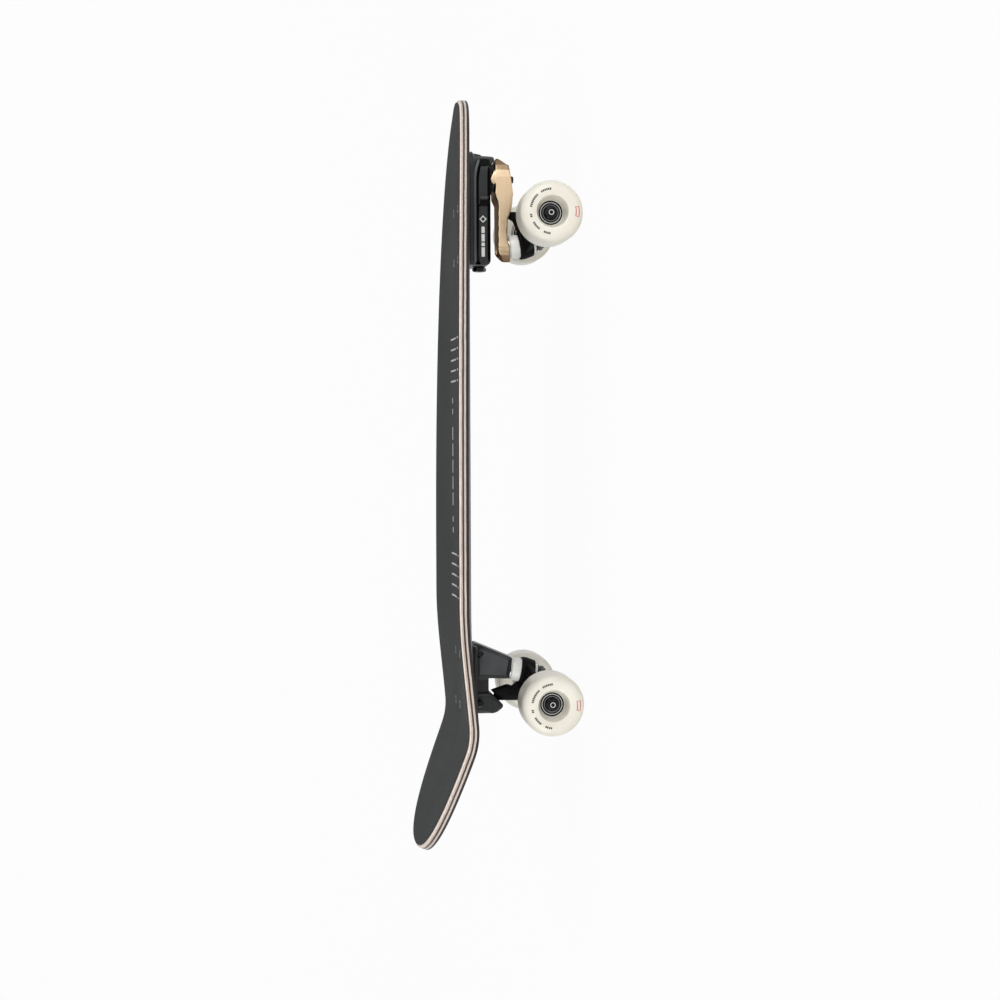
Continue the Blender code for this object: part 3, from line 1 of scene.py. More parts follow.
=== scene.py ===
"""The looks of the surfskate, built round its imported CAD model.

Row frame: +X to the nose, +Y to the left, +Z up, origin on the ground under the deck's middle.
Each truck's shapes are written once in its own frame, whose origin is the middle of its axle and
whose +X runs inboard: a matrix takes them to the rear end as they are, and to the front turned.
"""

import math

import bmesh
import bpy
from mathutils import Matrix, Vector


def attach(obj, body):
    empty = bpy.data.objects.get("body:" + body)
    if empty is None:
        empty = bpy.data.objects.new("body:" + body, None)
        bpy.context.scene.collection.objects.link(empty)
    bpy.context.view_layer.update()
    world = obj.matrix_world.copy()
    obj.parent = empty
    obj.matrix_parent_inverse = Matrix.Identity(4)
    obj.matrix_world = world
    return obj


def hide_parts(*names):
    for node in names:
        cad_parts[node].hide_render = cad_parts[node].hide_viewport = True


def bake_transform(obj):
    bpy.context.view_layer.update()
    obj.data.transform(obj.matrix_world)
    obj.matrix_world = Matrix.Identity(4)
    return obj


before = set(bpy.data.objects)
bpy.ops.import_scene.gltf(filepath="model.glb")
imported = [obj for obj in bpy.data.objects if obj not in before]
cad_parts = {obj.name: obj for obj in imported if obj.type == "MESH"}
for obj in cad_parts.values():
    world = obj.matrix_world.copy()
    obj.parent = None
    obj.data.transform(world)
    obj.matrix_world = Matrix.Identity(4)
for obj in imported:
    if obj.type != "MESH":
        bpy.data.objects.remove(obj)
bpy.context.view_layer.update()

# The camera stands at the photograph's place, with the board's nose up in the frame
IMAGE_SIZE = 1000
CAMERA_AT = Vector((0.0352, -1.9881, 0.3249))
CAMERA_LOOK = Vector((-0.0303, 0.9916, -0.1260))
CAMERA_UP = Vector((0.9995, 0.0295, -0.0077))
FOCAL_PIXELS = 1847

SKY_STRENGTH = 0.45
BACKDROP_WHITE = 0.98  # of the world where it is looked at, as pale as the floor
FLOOR_LIFT = 0.95  # how much of the floor's white is its own where it is looked at
LAMPS = (
    ("lamp_front", (0.1, -2.6, 0.8), (2.6, 0.8), 6.0),
    ("lamp_low_nose", (2.0, -1.7, 0.38), (1.6, 0.7), 24.0),
    ("lamp_low_tail", (-2.0, -1.7, 0.38), (1.6, 0.7), 24.0),
    ("lamp_above", (0.0, 0.2, 2.4), (2.4, 2.4), 7.0),
)

MM = 0.001
GAP = 0.3 * MM  # between pieces that touch or are pressed together
BEVEL = 0.8 * MM  # cut off the edges of rods, nuts and castings
THROUGH = 2 * MM  # how far a cutter runs on past the surface that it opens
X_AXIS = Vector((1, 0, 0))
Y_AXIS = Vector((0, 1, 0))
Z_AXIS = Vector((0, 0, 1))

# Deck
DECK_LENGTH = 804 * MM  # in plan: about 813 mm along the bent surface
DECK_AHEAD = 1.5 * MM  # how far the deck's middle lies before the origin
DECK_WIDTH = 250 * MM
DECK_THICKNESS = 10 * MM
DECK_EDGE = 1.5 * MM  # rounding of the plies' edge
WIDEST_AT = -90 * MM
NOSE_SHAPE = (2.2, 0.43)  # powers of the outline from the widest place to the nose
TAIL_SHAPE = (7.0, 0.45)  # the same to the tail
TIP_HALF = 7 * MM  # half width of the last station at each tip
CONCAVE = 12 * MM  # how far the rails stand over the middle strip
FLAT_HALF = 28 * MM  # half width of that strip
CONCAVE_POWER = 1.4
CONCAVE_FADE = (-300 * MM, -130 * MM)
KICK_ANGLE = math.radians(20.7)
KICK_RADIUS = 90 * MM
KICK_CORNER = -270 * MM  # where the kick's straight line would meet the flat
GRIP_THICKNESS = 0.9 * MM
GRIP_INSET = 0.4 * MM  # the grip's edge inside the top ply's edge

# Wheels, bearings and axles
WHEEL_DIAMETER = 65 * MM
WHEEL_WIDTH = 49 * MM
WHEEL_LIP = 10 * MM  # radius of the tread's edges
CORE_WALL = 1.1 * MM
CORE_PROUD = 0.6 * MM  # how far the core stands past the bearings' faces
BEARING_SHOULDER = 1.7 * MM  # of the core inside the outer races
BEARING_OUTER = 22 * MM
BEARING_BORE = 8 * MM
BEARING_WIDTH = 7 * MM
SPACER_LENGTH = 10 * MM
SPACER_WALL = 1.4 * MM
AXLE_DIAMETER = 8 * MM
AXLE_NUT_WIDTH = 12.6 * MM  # across flats
AXLE_NUT_HEIGHT = 5 * MM
AXLE_TIP = 1.0 * MM  # beyond the nut
HUB_OFFSET = 3 * MM  # how far the bearings sit inboard of the wheel's middle
HANGER_HALF = 82.5 * MM  # half of the hanger's length along the axle

# Where the trucks and the deck stand
AXLE_HEIGHT = WHEEL_DIAMETER / 2
RIDE_HEIGHT = 75.5 * MM  # of the deck's flat underside over the axles
DECK_UNDERSIDE = AXLE_HEIGHT + RIDE_HEIGHT
REAR_AXLE_X = -234 * MM
FRONT_AXLE_X = 272 * MM
SWING_X = 320.3 * MM  # the vertical axis that the front arm swings on

# Deck bolts
BOLT_ACROSS = 41.3 * MM
BOLT_ALONG = 54 * MM
REAR_BOLTS_X = -217 * MM  # middle of the rear four
FRONT_BOLTS_X = 259 * MM
BOLT_HEAD = 9.5 * MM
BOLT_SHANK = 4.8 * MM
BOLT_PLAY = 0.4 * MM  # round the shank in its holes
BOLT_TIP = 1.5 * MM  # beyond the lock nut
LOCK_NUT_WIDTH = 8 * MM
LOCK_NUT_HEIGHT = 5 * MM

# Kingpin and bushings: heights are measured along the kingpin, from the boss's face to the road
KINGPIN_FACE = Vector((25.2 * MM, 0, 30.7 * MM))  # in the truck frame
KINGPIN_TILT = math.radians(10)
KINGPIN_DIAMETER = 9.5 * MM
KINGPIN_HEAD = 16 * MM
KINGPIN_HEAD_HEIGHT = 5 * MM
KINGPIN_NUT_WIDTH = 14 * MM
KINGPIN_NUT_HEIGHT = 7.2 * MM
KINGPIN_TIP = 2 * MM
WASHER_THICKNESS = 1.5 * MM
CUP_WASHER = 24 * MM
LOW_WASHER = 17 * MM
UPPER_BUSHING = (25 * MM, 12 * MM)  # diameter and height
LOWER_BUSHING = (22 * MM, 17.6 * MM, 10 * MM)  # wide end, narrow end and height
BUSHING_PLAY = 0.5 * MM  # round the kingpin, and in the ring's cups

# Hanger
RING_OUTER = 29 * MM
RING_WEB = 6 * MM  # between the two bushing seats
RING_LIP = 2.4 * MM  # of the ring, round each bushing's end
RING_HOLE = 16 * MM
NUT_SCOOP = 23 * MM  # hollow in the hanger round the lower washer and nut
TUBE_END = 17 * MM  # outer diameters of the axle tube
TUBE_MIDDLE = 20 * MM
TUBE_THICK_HALF = 9 * MM  # half length of the tube's thick middle
WING_TIP = 13 * MM  # diameter of a wing where it runs out
WING_INSET = (1.5 * MM, 2.5 * MM)  # inside the ring, at its top and its bottom
WEB_FOOT_HALF = 7 * MM  # half width of the stem's web on the tube
WING_HALF = 56 * MM  # where the ring's wings run out on the tube
STEM_BALL = 9 * MM
STEM_NECK = 7.2 * MM
STEM_ROOT = 14 * MM
CUP_WALL = 1.2 * MM
CUP_MOUTH = 0.6 * MM  # how much wider the cup's mouth is than its ball seat

# Rear pivot, in the truck frame: middle of its face, the way into the boss and the depth of the ball
REAR_PIVOT_FACE = Vector((-5.9 * MM, 0, 45.7 * MM))
REAR_PIVOT_INWARD = math.radians(135)
REAR_PIVOT_DEPTH = 6 * MM
REAR_STEM_ROOT = Vector((-3 * MM, 0, 31 * MM))
# The same for the front one, which enters the arm more steeply
FRONT_PIVOT_FACE = Vector((-10.5 * MM, 0, 30.1 * MM))
FRONT_PIVOT_INWARD = math.radians(108)
FRONT_PIVOT_DEPTH = 3.6 * MM
FRONT_STEM_ROOT = Vector((-7 * MM, 0, 17 * MM))

# Rear baseplate
RISER_THICKNESS = 3 * MM
RISER_PROUD = 0.2 * MM  # how far the riser stands out round the flange
FLANGE_THICKNESS = 4 * MM
FLANGE_LENGTH = 78 * MM
FLANGE_WIDTH = 56 * MM
FLANGE_CORNER = 7 * MM
FLANGE_MIDDLE = -220.6 * MM
BOSS_WIDTH = 28 * MM
BOSS_PANEL = 1.6 * MM  # depth of the hollows in its sides
PIVOT_BOSS_WIDTH = 25 * MM
WEB_WIDTH = 12 * MM
WEB_LOW = 53.5 * MM  # its lower edge over the axle
BOSS_ROOT = (54.6 * MM, 16.4 * MM)  # inboard and outboard ends on the flange
BOSS_INBOARD = 12.7 * MM  # of the kingpin boss's face, from the kingpin
BOSS_OUTBOARD = 9.9 * MM
BOSS_RIM = 2.6 * MM  # round the hollows in its sides
PIVOT_FACE_UP = 9 * MM  # of the pivot boss's face, from the pivot's mouth
PIVOT_FACE_DOWN = 11.5 * MM
PIVOT_LOW_CORNER = 1.5 * MM
PIVOT_BACK = 16.5 * MM  # of the boss's round back, behind the mouth
PIVOT_BACK_CORNER = 14 * MM
PIVOT_BACK_RISE = 7 * MM  # of the back's corner over the face's low end
PIVOT_BOSS_EDGE = 3 * MM  # cut off the boss's side edges

# Front housing, arm and swing pivot
HOUSING_WIDTH = 50 * MM
HOUSING_FLANGE_WIDTH = 57 * MM
HOUSING_FLANGE = 5.2 * MM  # thickness
HOUSING_TAIL_X = 226 * MM
HOUSING_NOSE_X = 350 * MM
HOUSING_BOTTOM = AXLE_HEIGHT + 51.7 * MM
HOUSING_LIP = AXLE_HEIGHT + 47.1 * MM  # height of the front lip's edge
LIP_SLOPE = (13 * MM, 17 * MM)  # where the lip's slope starts and ends, before the swing axis
HOUSING_STEP = 2 * MM  # each step in from the flange, and the step's height
HOUSING_NOSE_CORNER = 20 * MM
HOUSING_TAIL_CORNER = 6 * MM
HOLLOW_HALF = 15.5 * MM
HOLLOW_FLOOR = AXLE_HEIGHT + 54.5 * MM
HOLLOW_TAIL_X = 233 * MM
THRUST_BOSS = 34 * MM
THRUST_WASHER = (27 * MM, 1.7 * MM)  # diameter and thickness
SWING_BEARING = (28 * MM, 12 * MM, 8 * MM)  # outer, bore and width
SHOULDER_OPENING = 22 * MM  # under the lower bearing
SHOULDER_THICKNESS = 1.8 * MM
HOUSING_WALL = 2 * MM  # between the bearings and the spring's hollow
PANEL_DEPTH = 1 * MM  # of the hollows in the housing's sides
PANEL_NOSE_X = 297 * MM
PANEL_RIM = 2.5 * MM
ARM_STEP = 3.2 * MM  # between the arm's head and the rest of its deck side
ARM_HEAD_END = (20 * MM, 27 * MM)  # behind the swing axis, the step's two ends
ARM_AHEAD = 1.8 * MM  # of the arm's outline before its two axes
ARM_NOSE = 6 * MM  # behind the head's front, where the slope at the arm's nose starts
ARM_NOSE_TIP = (0.2 * MM, 2.4 * MM)  # its end, behind the head's front and under its top
ARM_NOSE_FOOT = (9.6 * MM, 2.6 * MM)  # the low corner, behind the front and over the pivot
ARM_TAIL_SLOPE = (9 * MM, 7 * MM)
ARM_BELLY = ((-17 * MM, -3.3 * MM), (14 * MM, 1.1 * MM))  # from the swing axis and the pivot's height
ARM_NOSE_LOW = 5.5 * MM  # of the nose's lower edge, over the pivot's height
ARM_PIVOT_FACE = 13.6 * MM  # length of the slanted face at the pivot
ARM_TOP = AXLE_HEIGHT + 45.9 * MM
ARM_HEAD = 43 * MM  # diameter round the swing axis
ARM_TAIL = 34 * MM  # width at the kingpin end
SHAFT_TIP = 8.4 * MM
SHAFT_TIP_Z = AXLE_HEIGHT + 24.3 * MM
PIVOT_NUT_WIDTH = 15 * MM
PIVOT_NUT_HEIGHT = 7 * MM
PIVOT_NUT_SEAT = AXLE_HEIGHT + 38 * MM
PIVOT_NUT_PLAY = 1 * MM  # round the nut's corners in the arm's pocket
CRANK_RADIUS = 23 * MM
CRANK_WIDTH = 8 * MM
CRANK_THICKNESS = 5 * MM
CRANK_PIN = 6 * MM
CRANK_HUB = 16 * MM

# Centring spring and its adjuster
SPRING_HEIGHT = AXLE_HEIGHT + 61.5 * MM
SPRING_WIRE = 1.6 * MM
SPRING_DIAMETER = 11 * MM  # to the middle of the wire
SPRING_CURLS = 8
ANCHOR = (10 * MM, 5 * MM)  # diameter and thickness of the adjuster's inner end
ANCHOR_X = 246 * MM
ADJUSTER_SCREW = 6 * MM
ADJUSTER_HEAD_WIDTH = 13 * MM
ADJUSTER_HEAD_HEIGHT = 4.7 * MM


# Shapes

ROUND = 64  # sides of most turned shapes
SMALL_ROUND = 48


def at(x=0.0, y=0.0, z=0.0):
    return Matrix.Translation((x, y, z))


def along(direction, centre=(0, 0, 0)):
    """The matrix that takes +Z to a direction and the origin to a centre."""
    turn = Vector(direction).to_track_quat("Z", "Y").to_matrix().to_4x4()
    return Matrix.Translation(Vector(centre)) @ turn


ACROSS = Matrix.Rotation(math.radians(90), 4, "X")  # of a prism drawn in X and Z and extruded along Y


def line(start, end, steps):
    """Points on a straight line, with both of its ends."""
    return [tuple(a + (b - a) * k / steps for a, b in zip(start, end)) for k in range(steps + 1)]


def quarter(steps):
    """Sine and cosine through a right angle."""
    turns = (math.radians(90) * k / steps for k in range(steps + 1))
    return [(math.sin(turn), math.cos(turn)) for turn in turns]


def box(left, right, low, high):
    """Corners of an upright rectangle."""
    return [(left, low), (right, low), (right, high), (left, high)]


def skin(shape, rows, ring=True, caps=False):
    """Faces from each row of points to the next, round the rows if ring, and over both ends if caps."""
    for here, there in zip(rows, rows[1:]):
        for k in range(len(here) - (not ring)):
            n = (k + 1) % len(here)
            corners = list(dict.fromkeys((here[k], here[n], there[n], there[k])))
            if len(corners) > 2:
                shape.faces.new(corners)
    if caps:
        shape.faces.new(rows[0])
        shape.faces.new(rows[-1])
    return shape


def moved(shape, matrix):
    bmesh.ops.transform(shape, matrix=matrix, verts=shape.verts)
    return shape


def circle(radius, count, hexed=False):
    """Corners round a circle, each side touching it, or six flats of that radius with as many corners."""
    sixth = math.radians(60)
    corners = []
    for k in range(count):
        turn = 2 * math.pi * (k + 0.5) / count
        from_flat = 2 * math.pi * k / count % sixth
        reach = radius / math.cos(min(from_flat, sixth - from_flat) if hexed else math.pi / count)
        corners.append((reach * math.cos(turn), reach * math.sin(turn)))
    return corners


def turned(profile, count, place=None):
    """Turns a closed profile of (radius, height) points round +Z.

    Points at radius 0 become poles, and a third value that is true gives a point six flats.
    """
    shape = bmesh.new()
    rows = []
    for radius, height, *hexed in profile:
        if radius == 0:
            rows.append([shape.verts.new((0, 0, height))] * count)
        else:
            points = circle(radius, count, bool(hexed))
            rows.append([shape.verts.new((x, y, height)) for x, y in points])
    skin(shape, rows + rows[:1])
    return moved(shape, place) if place else shape


def prism(outline, low, high, place=None, edge=0.0):
    """Extrudes a flat outline from low to high along +Z, with its end edges rounded off by edge."""
    shape = bmesh.new()
    rows = [[shape.verts.new((x, y, z)) for x, y in outline] for z in (low, high)]
    skin(shape, rows, caps=True)
    if edge:
        rims = [e for e in shape.edges if e.verts[0].co.z == e.verts[1].co.z]
        bmesh.ops.bevel(shape, geom=rims, offset=edge, segments=1, affect="EDGES")
    return moved(shape, place) if place else shape


def rounded(corners, radius, steps=4):
    """The outline through corners, each replaced by an arc. Corners may carry their own radius."""
    outline = []
    for k, corner in enumerate(corners):
        here = Vector(corner[:2])
        before = Vector(corners[k - 1][:2]) - here
        after = Vector(corners[(k + 1) % len(corners)][:2]) - here
        own = corner[2] if len(corner) > 2 else radius
        if own <= 0:
            outline.append(tuple(here))
            continue
        reach = min(own / math.tan(before.angle(after) / 2), 0.49 * min(before.length, after.length))
        start = here + before.normalized() * reach
        end = here + after.normalized() * reach
        for n in range(steps + 1):
            t = n / steps
            outline.append(tuple(start * (1 - t) ** 2 + here * 2 * t * (1 - t) + end * t ** 2))
    return outline


def ball(centre, radius, count):
    """Points of a round ball, for hulls."""
    centre, up = Vector(centre), Z_AXIS * radius
    points = [centre + up, centre - up]
    for ring in range(1, count // 2):
        lean = math.pi * ring / (count // 2)
        out, height = radius * math.sin(lean), radius * math.cos(lean)
        for k in range(count):
            turn = 2 * math.pi * (k + 0.5 * (ring % 2)) / count
            points.append(centre + Vector((out * math.cos(turn), out * math.sin(turn), height)))
    return points


def disc(centre, direction, radius, count):
    place = along(direction, centre)
    return [place @ Vector((x, y, 0)) for x, y in circle(radius, count)]


def hull(points):
    shape = bmesh.new()
    for point in points:
        shape.verts.new(point)
    found = bmesh.ops.convex_hull(shape, input=shape.verts)
    inside = [v for v in found["geom_interior"] if isinstance(v, bmesh.types.BMVert)]
    bmesh.ops.delete(shape, geom=inside, context="VERTS")
    bmesh.ops.delete(shape, geom=[v for v in shape.verts if not v.link_faces], context="VERTS")
    return shape


def inset(outline, distance):
    """A convex outline moved in by a distance on every side."""
    middle = sum((Vector(p) for p in outline), Vector((0, 0))) / len(outline)
    lines = []
    for k, point in enumerate(outline):
        start = Vector(point)
        run = (Vector(outline[(k + 1) % len(outline)]) - start).normalized()
        inward = Vector((-run.y, run.x))
        if inward.dot(middle - start) < 0:
            inward = -inward
        lines.append((start + inward * distance, run))
    corners = []
    for k, (start, run) in enumerate(lines):
        before, before_run = lines[k - 1]
        cross = run.x * before_run.y - run.y * before_run.x
        gap = before - start
        reach = (gap.x * before_run.y - gap.y * before_run.x) / cross
        corners.append(tuple(start + run * reach))
    return corners


def rod(diameter, low, high, count, place=None, chamfer=0.0):
    """A round rod between two heights, with its end edges cut off."""
    radius = diameter / 2
    if chamfer:
        profile = [(0, low), (radius - chamfer, low), (radius, low + chamfer)]
        profile += [(radius, high - chamfer), (radius - chamfer, high), (0, high)]
    else:
        profile = [(0, low), (radius, low), (radius, high), (0, high)]
    return turned(profile, count, place)


def threads(profile, radius, low, high, pitch, depth):
    """Adds the crests of a thread to a turned profile, between two heights."""
    step = math.copysign(pitch, high - low)
    z = low
    while (high - z) * step > pitch * pitch:
        profile += [(radius, z), (radius - depth, z + step / 2)]
        z += step


# Pieces

def linked(name, data):
    made = bpy.data.objects.new(name, data)
    bpy.context.scene.collection.objects.link(made)
    return made


def mesh_of(shape, name="shape"):
    """The mesh of a shape, which is used up."""
    bmesh.ops.recalc_face_normals(shape, faces=shape.faces)
    mesh = bpy.data.meshes.new(name)
    shape.to_mesh(mesh)
    shape.free()
    return mesh


def shape_of(*meshes):
    """One shape that holds all of several meshes, which are used up."""
    shape = bmesh.new()
    for mesh in meshes:
        shape.from_mesh(mesh)
        bpy.data.meshes.remove(mesh)
    return shape


def merged(shapes):
    return shape_of(*[mesh_of(shape) for shape in shapes])


def finished(base):
    """The mesh of a working object with its modifiers applied. The object is thrown away."""
    bpy.context.view_layer.update()
    graph = bpy.context.evaluated_depsgraph_get()
    made = bpy.data.meshes.new_from_object(base.evaluated_get(graph), depsgraph=graph)
    discard(base)
    return made


def discard(*things):
    for thing in things:
        mesh = thing.data
        bpy.data.objects.remove(thing, do_unlink=True)
        bpy.data.meshes.remove(mesh)


def cut(mesh, shapes, operation="DIFFERENCE"):
    """A mesh with shapes cut from it, or joined to it, one after another."""
    base = linked("base", mesh)
    cutters = [linked("cutter", mesh_of(shape)) for shape in shapes]
    for cutter in cutters:
        step = base.modifiers.new("step", "BOOLEAN")
        step.operation = operation
        step.object = cutter
        step.solver = "EXACT"
    made = finished(base)
    discard(*cutters)
    return made


def remeshed(mesh, voxel, passes):
    base = linked("base", mesh)
    melt = base.modifiers.new("melt", "REMESH")
    melt.mode = "VOXEL"
    melt.voxel_size = voxel
    if passes:
        soften = base.modifiers.new("soften", "SMOOTH")
        soften.factor = 0.5
        soften.iterations = passes
    return finished(base)


def cast(shapes, voxel, passes, hollows=()):
    """Shapes melted into one casting: remeshed together, then smoothed so that their joins round off."""
    mesh = remeshed(mesh_of(merged(shapes)), voxel, 0 if hollows else passes)
    return remeshed(cut(mesh, hollows), voxel, passes) if hollows else mesh


def piece(name, shape, material, body, node=None, sharp=35):
    """A shown object that rides on a body of the CAD model, and stands for a node if one is given.

    Shape is a shape, a mesh or a curve in the row frame. Body is a name, or (name, name, start, end) for a
    soft piece, which is left in the row frame and rides on no body.
    Sharp is the angle in degrees of an edge that shows.
    """
    data = mesh_of(shape, name) if isinstance(shape, bmesh.types.BMesh) else shape
    if isinstance(data, bpy.types.Mesh):
        data.shade_smooth()
        data.set_sharp_from_angle(angle=math.radians(sharp))
    data.materials.clear()
    data.materials.append(material)
    made = linked(name, data)
    if isinstance(body, tuple):
        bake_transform(made)
    else:
        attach(made, body)
    if node:
        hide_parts(node)


def lathe(name, profile, count, place, *rest):
    """A turned piece. The rest is as for piece: material, body, node and sharp."""
    piece(name, turned(profile, count, place), *rest)


def fine(node, profile, count, place, material, body, sharp=35):
    """A turned piece that stands for a node."""
    lathe(f"{node}_fine", profile, count, place, material, body, node, sharp)


def place_of(end):
    """The matrix from a truck's own frame to the row frame."""
    if end == "rear":
        return at(REAR_AXLE_X, 0, AXLE_HEIGHT)
    return at(FRONT_AXLE_X, 0, AXLE_HEIGHT) @ Matrix.Rotation(math.pi, 4, "Z")


# Materials

class Look:
    """A material being made, with short calls for its nodes. Places are metres in the row frame."""

    def __init__(self, name, colour, roughness, metallic=0.0):
        self.made = bpy.data.materials.new(name)
        self.made.use_nodes = True
        self.made.diffuse_color = (*colour, 1.0)
        self.tree = self.made.node_tree
        self.shader = self.tree.nodes["Principled BSDF"]
        self.set(base_color=(*colour, 1.0), metallic=metallic, roughness=roughness)
        self.place = self.node("TexCoord").outputs["Object"]

    def set(self, **values):
        for word, value in values.items():
            socket = word.replace("_", " ").title().replace("Ior", "IOR")
            self.shader.inputs[socket].default_value = value

    def node(self, kind, sockets=(), **settings):
        """A node of a kind, with its settings and a value or a link for each of some sockets."""
        made = self.tree.nodes.new("ShaderNode" + kind)
        for word, value in settings.items():
            setattr(made, word, value)
        for key, value in sockets:
            self.feed(made.inputs[key], value)
        return made

    def feed(self, socket, value):
        if isinstance(value, bpy.types.NodeSocket):
            self.tree.links.new(value, socket)
        elif value is not None:
            socket.default_value = value

    def stretched(self, *scale):
        return self.node("VectorMath", ((0, self.place), (1, scale)), operation="MULTIPLY").outputs[0]

    def noise(self, scale, detail=3.0, roughness=0.55, place=None):
        words = ("Vector", "Scale", "Detail", "Roughness")
        values = (place or self.place, scale, detail, roughness)
        return self.node("TexNoise", zip(words, values)).outputs["Fac"]

    def streaks(self, scale, detail, roughness=0.55):
        return self.noise(1.0, detail, roughness, self.stretched(*scale))

    def cells(self, scale):
        return self.node("TexVoronoi", (("Vector", self.place), ("Scale", scale))).outputs["Distance"]

    def spread(self, value, low, high, to_low=0.0, to_high=1.0):
        words = ("Value", "From Min", "From Max", "To Min", "To Max")
        return self.node("MapRange", zip(words, (value, low, high, to_low, to_high))).outputs["Result"]

    def sum(self, operation, first, second):
        return self.node("Math", enumerate((first, second)), operation=operation).outputs[0]

    def mix(self, share, first, second, how="MIX"):
        sockets = [("Factor", share)]
        for key, value in ((6, first), (7, second)):
            sockets.append((key, value if isinstance(value, bpy.types.NodeSocket) else (*value, 1.0)))
        return self.node("Mix", sockets, data_type="RGBA", blend_type=how).outputs[2]

    def bump(self, height, strength, distance, below=None):
        words, values = ("Strength", "Distance", "Height", "Normal"), (strength, distance, height, below)
        return self.node("Bump", zip(words, values)).outputs["Normal"]

    def finish(self, colour, roughness=None, normal=None):
        for word, value in (("Base Color", colour), ("Roughness", roughness), ("Normal", normal)):
            self.feed(self.shader.inputs[word], value)
        return self.made


def grip_look(name, low, high, printed=False):
    """Sharp grit in a sheet: fine light and dark grains, with a faint cloud of dust over it and pale flecks
    painted in as the grit's glints.
    """
    look = Look(name, high, 0.88)
    look.set(specular_ior_level=0.18)
    grit = look.noise(1700, 4.0, roughness=0.7)
    cloud = look.noise(9, 3.0)
    colour = look.mix(look.spread(grit, 0.32, 0.68), low, high)
    dusty = look.mix(look.spread(cloud, 0.35, 0.75, 0.0, 0.35), colour, tuple(min(1, 1.35 * v) for v in high))
    # Painted highlight: pale flecks in the colour stand for glints on the grit.
    painted_glint = look.spread(look.cells(1300), 0.0, 0.12, 1.0, 0.0)
    with_painted_glints = look.mix(look.sum("MULTIPLY", painted_glint, 0.35), dusty, (0.42, 0.42, 0.43))
    if printed:
        worn = look.spread(look.noise(420, 4.0, roughness=0.75), 0.56, 0.64)
        with_painted_glints = look.mix(look.sum("MULTIPLY", worn, 0.7), with_painted_glints, (0.11, 0.11, 0.115))
    coarse = look.bump(look.cells(900), 0.35, 0.00025)
    fine = look.bump(grit, 0.55, 0.0003, coarse)
    return look.finish(with_painted_glints, look.spread(grit, 0.3, 0.7, 0.78, 0.95), fine)


VENEER = 1.445  # millimetres between two lines of glue
PLIES = (  # millimetres over the underside where each colour starts, and the colour
    (0.0, (0.022, 0.020, 0.019)),
    (1.45, (0.030, 0.026, 0.024)),
    (2.8, (0.62, 0.56, 0.52)),
    (4.85, (0.060, 0.038, 0.028)),
    (6.75, (0.60, 0.51, 0.45)),
    (8.45, (0.92, 0.83, 0.76)),
)


def ply_look():
    """Veneers by their height in the press, with end grain on the edge and long grain underneath."""
    look = Look("pressed_plies", (0.55, 0.45, 0.4), 0.42)
    look.set(specular_ior_level=0.2)
    height = look.node("Attribute", attribute_name="ply").outputs["Fac"]
    waver = look.spread(look.noise(55, 2.0), 0.3, 0.7, -0.12, 0.12)
    level = look.sum("MAXIMUM", look.sum("ADD", height, waver), 0.3)
    ramp = look.node("ValToRGB")
    ramp.color_ramp.interpolation = "CONSTANT"
    stops = ramp.color_ramp.elements
    for k, (start, colour) in enumerate(PLIES):
        stop = stops[k] if k < 2 else stops.new(start / 10)
        stop.position = start / 10
        stop.color = (*colour, 1.0)
    look.feed(ramp.inputs["Fac"], look.sum("DIVIDE", level, 10.0))
    grain = look.streaks((70.0, 900.0, 900.0), 5.0, 0.65)
    pores = look.streaks((160.0, 2600.0, 2600.0), 3.0, 0.6)
    tint = look.mix(look.spread(grain, 0.3, 0.7), (0.74, 0.72, 0.70), (1.16, 1.15, 1.14))
    shaded = look.mix(1.0, ramp.outputs["Color"], tint, "MULTIPLY")
    dark = look.spread(pores, 0.62, 0.72, 0.0, 0.45)
    colour = look.mix(dark, shaded, (0.07, 0.05, 0.042))
    glue = look.sum("PINGPONG", look.sum("ADD", level, 0.02), VENEER / 2)
    line = look.spread(glue, 0.0, 0.09, 0.55, 0.0)
    colour = look.mix(line, colour, (0.09, 0.06, 0.045))
    rough = look.spread(grain, 0.3, 0.7, 0.34, 0.52)
    normal = look.bump(pores, 0.12, 0.0002, look.bump(grain, 0.15, 0.0003))
    return look.finish(colour, rough, normal)


def paint_look(name="black_paint", colour=(0.014, 0.0147, 0.0152), rough=(0.30, 0.42), shine=0.28):
    """Powder coat: a fine orange peel, with a little dust in its hollows."""
    look = Look(name, colour, 0.36)
    look.set(specular_ior_level=shine)
    peel = look.noise(650, 3.0)
    cloud = look.noise(35, 3.0)
    speck = look.spread(look.noise(2400, 2.0), 0.66, 0.74, 0.0, 0.5)
    tone = look.mix(look.spread(cloud, 0.3, 0.7), colour, tuple(1.5 * v for v in colour))
    dusty = look.mix(speck, tone, (0.05, 0.05, 0.052))
    normal = look.bump(peel, 0.10, 0.0003, look.bump(look.noise(90, 2.0), 0.05, 0.0008))
    return look.finish(dusty, look.spread(cloud, 0.3, 0.7, *rough), normal)


